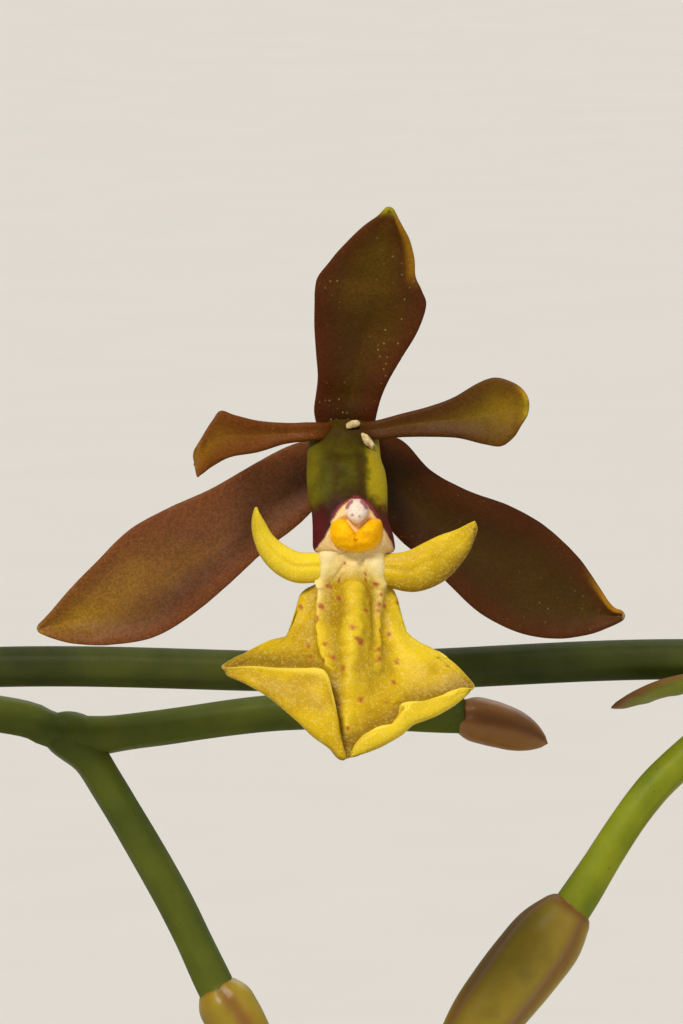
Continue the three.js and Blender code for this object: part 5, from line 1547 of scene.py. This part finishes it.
for number, bulb in enumerate(PSEUDOBULBS, 1):
    points, faces, values = bulb_body(bulb, number)
    rind = bulb_old if number == 6 else bulb_green
    node = f"pseudobulb_{number}"
    add_piece("fine_" + node, points, faces, rind, "pseudobulb", [node], values)
print("pseudobulbs:", len(PSEUDOBULBS))

# %% [markdown]
# A sheath is the dried foot of an old leaf. It hugs the bulb, and its upper edge is torn into points
# that stand off a little. What is left of it is a paper of lengthwise fibres, dull and straw-brown.

# %% Papery sheaths
sheath_paper, place = new_material("dry_sheath_paper")
drawn_out = add_node(sheath_paper, "VectorMath", [place, (1, 1, 0.12)], operation="MULTIPLY")
fibres = add_node(sheath_paper, "TexNoise", {"Vector": drawn_out, "Scale": per_mm(1.2), "Detail": 4})
tone = "#8c6a44"
for low, high, colour in ((0.3, 0.52, "#b99f76"), (0.52, 0.75, "#d8c7a2")):
    share = add_node(sheath_paper, "MapRange", [fibres, low, high, 0, 1])
    tone = add_node(sheath_paper, "Mix", {0: share, 6: tone, 7: colour}, **COLOURS)
facing = add_node(sheath_paper, "Bump", {"Height": fibres, "Distance": 0.12 * MM})
finish(sheath_paper, {"Base Color": tone, "Roughness": 0.75, "IOR": 1.5, "Normal": facing})


def sheath_sheet(bulb, low, high, start, sweep, stand_off, seed):
    """A torn strip round a bulb, from one height to another, over part of a turn."""
    foot, top = np.array(bulb["foot"], float), np.array(bulb["top"], float)
    axis = unit(top - foot)
    side = unit(np.cross(axis, [0, 1, 0]))
    up = np.cross(axis, side)
    turn = np.linspace(0, 1, 54)
    rise = np.linspace(0, 1, 18)[:, None]
    tears = 0.5 + 0.5 * np.sin(turn * 19 + seed) * np.sin(turn * 7.3 + 2 * seed)
    tall = high * (0.62 + 0.38 * tears) * (0.35 + 0.65 * np.sin(math.pi * turn) ** 0.4)
    share = low + (tall - low)[None, :] * rise
    angle = start + sweep * turn[None, :] + 0 * share
    lift = stand_off * (1 + 1.1 * rise**3) + 0.12 * np.sin(angle * 11 + seed) * rise
    radius = bulb_size(np.clip(share, 0, 1), bulb["girth"]) + lift
    outwards = np.cos(angle)[..., None] * side + np.sin(angle)[..., None] * up
    return foot + share[..., None] * (top - foot) + radius[..., None] * outwards


def closed_sheath(middle, thickness=0.14):
    """A thin closed sheet on both sides of a middle surface that faces outwards."""
    normals = unit(np.cross(np.gradient(middle, axis=1), np.gradient(middle, axis=0))) * thickness / 2
    rows, columns = middle.shape[:2]
    index = np.arange(rows * columns).reshape(rows, columns)
    other = index + rows * columns
    points = np.concatenate([(middle + normals).reshape(-1, 3), (middle - normals).reshape(-1, 3)])
    faces = grid_faces(index)[:, ::-1].tolist() + grid_faces(other).tolist()
    loop = [*index[0, :-1], *index[:-1, -1], *index[-1, :0:-1], *index[:0:-1, 0]]
    for a, b in zip(loop, loop[1:] + loop[:1]):
        faces.append([a, b, b + rows * columns, a + rows * columns])
    return points, faces


# Each sheath: which bulb, lowest and highest share of its height, where it starts and how far it
# goes round, in radians, and how far it stands off.
SHEATHS = [
    (0, 0.02, 0.40, 0.4, 5.4, 0.30),
    (0, 0.01, 0.26, 3.4, 5.0, 0.60),
    (1, 0.02, 0.36, 2.2, 5.2, 0.30),
    (2, 0.02, 0.38, 1.0, 5.3, 0.30),
    (3, 0.02, 0.34, 4.0, 5.2, 0.30),
    (4, 0.02, 0.60, 0.0, 5.6, 0.30),
    (4, 0.01, 0.34, 3.0, 5.2, 0.60),
    (5, 0.02, 0.30, 5.0, 4.6, 0.35),
]
sheaths = [
    closed_sheath(sheath_sheet(PSEUDOBULBS[bulb], *rest, k)) for k, (bulb, *rest) in enumerate(SHEATHS)
]
add_piece("dry_sheaths", *put_together(sheaths), sheath_paper, "rhizome")
print("sheaths:", len(sheaths))

# %% [markdown]
# ## Leaves
#
# Two strap leaves top each young pseudobulb. They are folded along the midrib at the foot, open out
# and arch over. A leaf's skin is a tough, waxed cuticle over fine parallel veins that run its whole
# length, so it is satin and catches the light in long streaks.

# %% Leaf cuticle
leaf_cuticle, place = new_material("leaf_cuticle_green")
across = add_node(leaf_cuticle, "Attribute", output="Fac", attribute_name="across")
along = add_node(leaf_cuticle, "Attribute", output="Fac", attribute_name="along")
VEIN_COUNT = 15  # on each half of the blade, half a millimetre apart
turns = add_node(leaf_cuticle, "Math", [across, 2 * math.pi * VEIN_COUNT], **TIMES)
veins = add_node(leaf_cuticle, "Math", [turns], operation="SINE")
veins = add_node(leaf_cuticle, "MapRange", [veins, 0, 1, 0, 1])
from_midrib = add_node(leaf_cuticle, "Math", [across], operation="ABSOLUTE")
clouds = add_node(leaf_cuticle, "TexNoise", {"Vector": place, "Scale": per_mm(14), "Detail": 5})
flecks = add_node(leaf_cuticle, "TexNoise", {"Vector": place, "Scale": per_mm(2.2), "Detail": 3})
tone = "#3f661f"
for (value, low, high, share_low, share_high), colour in (
    ((clouds, 0.3, 0.7, 0, 1), "#5d8630"),
    ((veins, 0, 1, 0, 0.22), "#2f5118"),
    ((along, 0.0, 0.16, 0.8, 0), "#9aa656"),
    ((from_midrib, 0.0, 0.06, 0.55, 0), "#8fa850"),
    ((from_midrib, 0.95, 1.0, 0, 0.5), "#8a9a48"),
    ((flecks, 0.70, 0.76, 0, 0.35), "#8f9440"),
):
    share = add_node(leaf_cuticle, "MapRange", [value, low, high, share_low, share_high])
    tone = add_node(leaf_cuticle, "Mix", {0: share, 6: tone, 7: colour}, **COLOURS)
swell = add_node(leaf_cuticle, "TexNoise", {"Vector": place, "Scale": per_mm(3.0), "Detail": 4})
facing = add_node(leaf_cuticle, "NewGeometry", output="Normal")
for height, depth in ((swell, 0.12), (veins, 0.06)):
    facing = add_node(leaf_cuticle, "Bump", {"Height": height, "Distance": depth * MM, "Normal": facing})
finish(leaf_cuticle, {
    "Base Color": tone,
    "Roughness": 0.36,
    "IOR": 1.45,
    "Normal": facing,
    "Subsurface Weight": 0.06,
    "Subsurface Scale": 0.001,
    "Coat Weight": 0.08,
})
print("leaf finish:", leaf_cuticle.name, "with", 2 * VEIN_COUNT, "veins")

# %% Leaf blades
LEAVES = [
    dict(bulb=0, shift=(-2.4, -1.6), azimuth=214, lean=24, bend=44, length=128),
    dict(bulb=0, shift=(-0.8, 2.6), azimuth=112, lean=16, bend=50, length=118),
    dict(bulb=1, shift=(-1.9, -0.6), azimuth=236, lean=32, bend=62, length=112),
    dict(bulb=1, shift=(1.9, 0.2), azimuth=318, lean=30, bend=66, length=104),
    dict(bulb=2, shift=(1.9, -0.8), azimuth=338, lean=22, bend=60, length=122),
    dict(bulb=2, shift=(-0.6, 2.0), azimuth=76, lean=16, bend=48, length=112),
    dict(bulb=3, shift=(1.8, 0.8), azimuth=36, lean=26, bend=56, length=116),
    dict(bulb=3, shift=(-1.8, 0.6), azimuth=144, lean=28, bend=66, length=108),
    dict(bulb=4, shift=(1.5, -0.8), azimuth=300, lean=30, bend=58, length=74, width=12),
    dict(bulb=4, shift=(0.8, 1.6), azimuth=8, lean=40, bend=46, length=66, width=11),
]
LEAF_WIDTH = 15
LEAF_STATIONS = 10
LEAF_FLESH = 0.9
UPPER_FACE = (0, 0, 1)


def leaf_rows(leaf):
    """The solid's own rows: left edge, midrib and right edge at each station."""
    heading, start, turn = (math.radians(leaf[key]) for key in ("azimuth", "lean", "bend"))
    out = np.array([math.cos(heading), math.sin(heading), 0])
    side = np.array([-math.sin(heading), math.cos(heading), 0])
    middle = np.array(PSEUDOBULBS[leaf["bulb"]]["top"], float) + np.array([*leaf["shift"], -1])
    half_width = leaf.get("width", LEAF_WIDTH) / 2
    stations = [s * (1.6 - 0.6 * s) for s in np.linspace(0, 1, LEAF_STATIONS)]
    rows, before = [], 0.0
    for s in stations:
        tilt = start + turn * s**1.6
        forward = out * math.sin(tilt) + np.array([0, 0, math.cos(tilt)])
        upper = np.cross(side, forward)
        middle = middle + forward * leaf["length"] * (s - before)
        before = s
        half = half_width * max(min(1, 0.3 + 2.1 * s) * math.sqrt(max(0, 1 - s**3.4)), 0.06)
        fold = 0.75 * (1 - s) ** 2 + 0.16
        edge = upper * -half * math.sin(fold)
        across = side * half * math.cos(fold)
        rows.append([middle - across + edge, middle, middle + across + edge])
    return rows


def leaf_blade(leaf, seed):
    along, across = 72, 28
    middle = resampled(smooth_patch(leaf_rows(leaf), along, across))
    sides = crowded(across)[None, :]
    lengths = np.linspace(0, 1, along)[:, None]
    ribs = 0.05 * np.cos(sides * 11 * math.pi) * (1 - sides**4)
    sway = 0.35 * ripples(middle, 26, seed) * np.abs(sides) * lengths - 0.35 * hump(sides, 0.07)
    points, faces = blade(swayed(middle, sway, UPPER_FACE), LEAF_FLESH, ribs, UPPER_FACE)
    return points, faces, {"along": on_blade(lengths + 0 * sides), "across": on_blade(sides + 0 * lengths)}


for number, leaf in enumerate(LEAVES, 1):
    points, faces, values = leaf_blade(leaf, number)
    node = f"leaf_{number}"
    add_piece("fine_" + node, points, faces, leaf_cuticle, "leaf", [node], values)
print("leaves:", len(LEAVES))

# %% [markdown]
# ## Rhizome and roots
#
# The pseudobulbs grow from a creeping stem that lies on the bark, covered in the brown stubs of old
# scales. Its roots have a spongy coat of dead, air-filled cells that drinks rain. Air makes the coat
# silver and quite matte.

# %% Rhizome and root skins
def creeping_skin(name, low, high, size, depth, roughness):
    skin, place = new_material(name)
    clouds = add_node(skin, "TexNoise", {"Vector": place, "Scale": per_mm(size), "Detail": 4})
    share = add_node(skin, "MapRange", [clouds, 0.3, 0.7, 0, 1])
    tone = add_node(skin, "Mix", {0: share, 6: low, 7: high}, **COLOURS)
    rough = add_node(skin, "TexNoise", {"Vector": place, "Scale": per_mm(size / 2), "Detail": 4})
    facing = add_node(skin, "Bump", {"Height": rough, "Distance": depth * MM})
    return finish(skin, {"Base Color": tone, "Roughness": roughness, "IOR": 1.5, "Normal": facing})


rhizome_scales = creeping_skin("rhizome_scale_stubs", "#6d5a34", "#94885a", 2.0, 0.25, 0.7)
root_sponge = creeping_skin("root_silver_sponge", "#a6a490", "#d9d7ca", 1.4, 0.1, 0.85)
RHIZOME_PATH = [
    (-28, 26, 75), (-25, 22, 76), (-22, 12, 76), (-18, 2, 76),
    (-2, -6, 76), (14, -1, 76), (26, -13, 76), (30, -20, 75),
]
SIDE_RHIZOME_PATH = [(-1, -4, 76), (1, 8, 76), (1, 20, 76), (2, 29, 74)]
RHIZOME_RADIUS = 3
RHIZOME_LEVEL = 77
ROOT_COUNT = 6
ROOT_ROOM = 37.6


def dice(seed):
    """The solids' own random draws, so that the fine roots lie where the plain ones do."""
    state = seed

    def draw(low, high):
        nonlocal state
        state = (state * 1664525 + 1013904223) % 4294967296
        return low + (high - low) * state / 4294967296

    return draw


def rhizome_body(knots):
    path = even_path(knots, 90)
    share = np.linspace(0, 1, 90)
    length = float(np.linalg.norm(np.diff(path, axis=0), axis=1).sum())
    rings = 0.10 * np.abs(np.sin(share * length * math.pi / 4.5)) ** 0.3
    radii = RHIZOME_RADIUS * (0.9 + rings) * np.clip(np.minimum(share, 1 - share) / 0.02 + 0.3, 0.3, 1)
    return round_body(rings_along(path, radii, 28))


def kept_inside(point):
    room = min(1.0, ROOT_ROOM / math.hypot(point[0], point[1]))
    return np.array([point[0] * room, point[1] * room, point[2]])


def root_paths():
    draw = dice(7)
    main = even_path(RHIZOME_PATH, 401)
    for k in range(ROOT_COUNT):
        start = main[int(round(400 * (0.06 + 0.88 * k / (ROOT_COUNT - 1))))]
        angle = k * 2.4 + draw(-0.3, 0.3)
        out = np.array([math.cos(angle), math.sin(angle), 0])
        reach = draw(9, 13)
        near_end = [start + out * reach * 0.45, start + out * reach * 0.8, start + out * reach]
        heights = [RHIZOME_LEVEL + 1.5, RHIZOME_LEVEL - 2, RHIZOME_LEVEL - 10]
        knots = [np.array([*p[:2], z]) for p, z in zip(near_end, heights)]
        yield [start, knots[0], kept_inside(knots[1]), kept_inside(knots[2])]


rhizomes = put_together([rhizome_body(RHIZOME_PATH), rhizome_body(SIDE_RHIZOME_PATH)])
add_piece("fine_rhizome", *rhizomes, rhizome_scales, "rhizome", ["rhizome_with_roots"])
root_size = np.full(50, 1.15)
roots = [
    round_body(rings_along(even_path(knots, 50), root_size, 18, ribbed(0.05, 3))) for knots in root_paths()
]
add_piece("fine_roots", *put_together(roots), root_sponge, "rhizome", ["rhizome_with_roots"])
print("roots:", len(roots))

# %% [markdown]
# ## Bark
#
# Orchids are potted in chips of fir bark. Each chip is a flat piece broken off in layers, dark
# red-brown inside and grey outside, as dry and dull as cork. The chips are small blocks with every
# corner pushed about, laid in turns from the middle outwards and tipped at random.

# %% Fir bark
fir_bark, place = new_material("fir_bark")
flattened = add_node(fir_bark, "VectorMath", [place, (1, 1, 4)], operation="MULTIPLY")
strata = {"Vector": flattened, "Scale": per_mm(1.6), "Detail": 5, "Roughness": 0.65}
layers = add_node(fir_bark, "TexNoise", strata)
weathered = add_node(fir_bark, "TexNoise", {"Vector": place, "Scale": per_mm(7), "Detail": 3})
chip_tone = add_node(fir_bark, "Attribute", output="Fac", attribute_name="chip")
tone = "#2b1a10"
for (value, low, high, most), colour in (
    ((layers, 0.28, 0.48, 1), "#5a3822"),
    ((layers, 0.48, 0.62, 1), "#7a5236"),
    ((layers, 0.62, 0.8, 1), "#a08468"),
    ((chip_tone, 0, 1, 1), "#3c2618"),
    ((weathered, 0.55, 0.72, 0.45), "#8c8272"),
):
    share = add_node(fir_bark, "MapRange", [value, low, high, 0, most])
    tone = add_node(fir_bark, "Mix", {0: share, 6: tone, 7: colour}, **COLOURS)
crumbly = add_node(fir_bark, "TexNoise", {"Vector": place, "Scale": per_mm(0.5), "Detail": 3})
facing = add_node(fir_bark, "NewGeometry", output="Normal")
for height, depth in ((layers, 0.6), (crumbly, 0.12)):
    facing = add_node(fir_bark, "Bump", {"Height": height, "Distance": depth * MM, "Normal": facing})
finish(fir_bark, {"Base Color": tone, "Roughness": 0.88, "IOR": 1.5, "Normal": facing})
print("bark finish:", fir_bark.name)

# %% Room for the bark
BARK_TOP = 72
BARK_DOME = 3
POT = dict(height=84, rim=50, rim_height=15, rim_step=3.5, foot=34, wall=5, floor=6)
DRAIN = dict(count=4, ring=18, radius=4)


def pot_radius(z):
    under = POT["height"] - POT["rim_height"]
    return POT["foot"] + (POT["rim"] - POT["rim_step"] - POT["foot"]) * z / under


BARK_EDGE = pot_radius(POT["height"] - POT["rim_height"]) - POT["wall"] - 0.5
GOLDEN_ANGLE = 2.39996  # radians from one chip to the next, so that no two lie in one line
print("radius of the bark:", round(BARK_EDGE, 1), "mm")


# %% Bark chips
def chip_body(size, centre, turn, seed):
    """A block cut into a fine grid, with its sides broken and its corners worn."""
    mesh = bmesh.new()
    bmesh.ops.create_cube(mesh, size=1)
    bmesh.ops.subdivide_edges(mesh, edges=mesh.edges[:], cuts=4, use_grid_fill=True)
    points = np.array([v.co[:] for v in mesh.verts])
    faces = [[v.index for v in face.verts] for face in mesh.faces]
    mesh.free()
    round_off = 1 - 0.16 * (np.abs(points * 2) ** 4).sum(-1, keepdims=True) / 3
    points = points * round_off * np.asarray(size)
    for size_of_break, depth, first in ((5, 0.5, 0), (1.8, 0.22, 5)):
        breaks = [ripples(points, size_of_break, seed + first + i) for i in range(3)]
        points = points + depth * np.stack(breaks, -1)
    return points @ np.array(turn).T + centre, faces


def bark_chips(count):
    draw = random.Random(5)
    parts, tones = [], []
    for k in range(count):
        size = draw.uniform(7, 13), draw.uniform(5, 9), draw.uniform(2.5, 4.5)
        layer = 1 if k % 3 else 0
        radius = (BARK_EDGE - 0.42 * size[0]) * math.sqrt((k + 0.5) / count)
        angle = k * GOLDEN_ANGLE
        dome = BARK_DOME * (1 - (radius / BARK_EDGE) ** 2)
        centre = np.array([radius * math.cos(angle), radius * math.sin(angle), BARK_TOP + dome + 1.6 * layer])
        turn = Matrix.Rotation(draw.uniform(0, 6.28), 3, "Z")
        for most, axis in ((0.4, "X"), (0.35, "Y")):
            turn = turn @ Matrix.Rotation(draw.uniform(-most, most), 3, axis)
        parts.append(chip_body(size, centre, turn, 20 * k))
        tones.append(np.full(len(parts[-1][0]), draw.choice([0.0, 0.15, 0.35, 0.6])))
    return parts, np.concatenate(tones)


chips, chip_tones = bark_chips(140)
print("chips:", len(chips))


# %% Packed bark under the chips
def turned_rings(profile, sides):
    """Rings round the upright axis, from pairs of radius and height."""
    angles = np.linspace(0, 2 * math.pi, sides, endpoint=False)
    return np.array([[(r * math.cos(a), r * math.sin(a), z) for a in angles] for r, z in profile])


def bark_filling():
    """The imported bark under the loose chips."""
    radii = np.array([0.01, 0.25, 0.5, 0.75, 0.95, 1.0]) * BARK_EDGE
    heights = BARK_TOP - 1.5 + BARK_DOME * (1 - (radii / BARK_EDGE) ** 2)
    rings = turned_rings([*zip(radii, heights), (BARK_EDGE - 1, 60), (BARK_EDGE - 7, 30), (0.01, 8)], 96)
    rings[..., 2] += (rings[..., 2] > 65) * 0.6 * ripples(rings, 6, 2)
    return turned_over(*round_body(rings))


filling = bark_filling()
tones = np.concatenate([chip_tones, np.full(len(filling[0]), 0.8)])
add_piece("fine_bark_mix", *put_together([*chips, filling]), fir_bark, "bark", ["bark_mix"], {"chip": tones})
print("faces in the packed bark:", len(filling[1]))

# %% [markdown]
# ## The pot
#
# Plain terracotta: red clay, pressed in a mould, turned and fired once without a glaze. The wall is
# porous and quite matte, with faint rings from the turning. Salts from the water dry out on it as a
# thin pale bloom, most of all low down and under the rim.

# %% Terracotta
terracotta, place = new_material("terracotta_unglazed")
clouds = add_node(terracotta, "TexNoise", {"Vector": place, "Scale": per_mm(22), "Detail": 5})
grit = add_node(terracotta, "TexNoise", {"Vector": place, "Scale": per_mm(0.6), "Detail": 2})
salt_clouds = add_node(terracotta, "TexNoise", {"Vector": place, "Scale": per_mm(16), "Detail": 6})
salt_clouds = add_node(terracotta, "MapRange", [salt_clouds, 0.5, 0.74, 0, 0.5])
salt_place = add_node(terracotta, "Attribute", output="Fac", attribute_name="salt")
salt = add_node(terracotta, "Math", [salt_clouds, salt_place], **TIMES)
tone = "#a9603a"
for (value, low, high, most), colour in (
    ((clouds, 0.3, 0.7, 1), "#c07a4e"),
    ((grit, 0.62, 0.7, 0.4), "#8a4c2e"),
    ((salt, 0, 1, 1), "#dccab6"),
):
    share = add_node(terracotta, "MapRange", [value, low, high, 0, most])
    tone = add_node(terracotta, "Mix", {0: share, 6: tone, 7: colour}, **COLOURS)
rings = {"Vector": place, "Scale": per_mm(30), "Distortion": 1.5, "Detail": 2.0, "Detail Scale": 0.4}
turning = add_node(terracotta, "TexWave", rings, output="Fac", bands_direction="Z")
pores = add_node(terracotta, "TexNoise", {"Vector": place, "Scale": per_mm(0.7), "Detail": 4})
swell = add_node(terracotta, "TexNoise", {"Vector": place, "Scale": per_mm(6), "Detail": 3})
facing = add_node(terracotta, "NewGeometry", output="Normal")
for height, depth in ((swell, 0.15), (turning, 0.05), (pores, 0.1)):
    facing = add_node(terracotta, "Bump", {"Height": height, "Distance": depth * MM, "Normal": facing})
finish(terracotta, {
    "Base Color": tone,
    "Roughness": 0.85,
    "IOR": 1.5,
    "Specular IOR Level": 0.3,
    "Normal": facing,
})
print("pot finish:", terracotta.name)

# %% [markdown]
# The pot is one profile turned round the upright axis, from the middle of its underside up the wall,
# over the rim and down to the middle of its floor. Four drain holes are bored through the floor.

# %% Pot
def rounded(corners, radius, count=5):
    """A profile with all but its two end corners rounded off."""
    corners = [np.array(corner, float) for corner in corners]
    out = [corners[0]]
    for before, corner, after in zip(corners, corners[1:], corners[2:]):
        reach = min(radius, 0.45 * np.linalg.norm(before - corner), 0.45 * np.linalg.norm(after - corner))
        start = corner + unit(before - corner) * reach
        end = corner + unit(after - corner) * reach
        for t in np.linspace(0, 1, count):
            out.append((1 - t) ** 2 * start + 2 * t * (1 - t) * corner + t**2 * end)
    return [*out, corners[-1]]


def pot_profile():
    under, height, floor_height = POT["height"] - POT["rim_height"], POT["height"], POT["floor"]
    inner = pot_radius(under) - POT["wall"], pot_radius(floor_height) - POT["wall"]
    outside = [(1, 0), (POT["foot"], 0), (pot_radius(under), under)]
    outside += [(POT["rim"] - 0.6, under + 0.4), (POT["rim"], height)]
    inside = [(POT["rim"] - POT["wall"], height), (inner[0], under)]
    inside += [(inner[1], floor_height), (1, floor_height)]
    return rounded(outside + inside, 1.3)


def bored(piece, at, radius, depth):
    """Cuts an upright hole through a piece at each place."""
    drills = bmesh.new()
    for x, y in at:
        move = Matrix.Translation((x * MM, y * MM, 0))
        size = dict(radius1=radius * MM, radius2=radius * MM, depth=depth * MM)
        bmesh.ops.create_cone(drills, cap_ends=True, segments=40, matrix=move, **size)
    mesh = bpy.data.meshes.new("drills")
    drills.to_mesh(mesh)
    drills.free()
    cutter = bpy.data.objects.new("drills", mesh)
    scene.collection.objects.link(cutter)
    cut = piece.modifiers.new("holes", "BOOLEAN")
    cut.object = cutter
    bpy.context.view_layer.update()
    finished = bpy.data.meshes.new_from_object(piece.evaluated_get(bpy.context.evaluated_depsgraph_get()))
    piece.modifiers.clear()
    piece.data = finished
    bpy.data.objects.remove(cutter)
    finished.set_sharp_from_angle(angle=math.radians(50))


points, faces = round_body(turned_rings(pot_profile(), 160))
low = np.clip(1 - points[:, 2] / 30, 0, 1) + 0.8 * hump(points[:, 2] - 68, 5)
pot = add_piece("fine_pot", points, faces, terracotta, "clay", ["pot"], {"salt": np.clip(low + 0.15, 0, 1)})
drain_angles = [math.pi / 4 + 2 * math.pi * k / DRAIN["count"] for k in range(DRAIN["count"])]
drains = [(DRAIN["ring"] * math.cos(a), DRAIN["ring"] * math.sin(a)) for a in drain_angles]
bored(pot, drains, DRAIN["radius"], 3 * POT["floor"])
print("pot:", len(pot.data.polygons), "faces, drain holes:", len(drains))
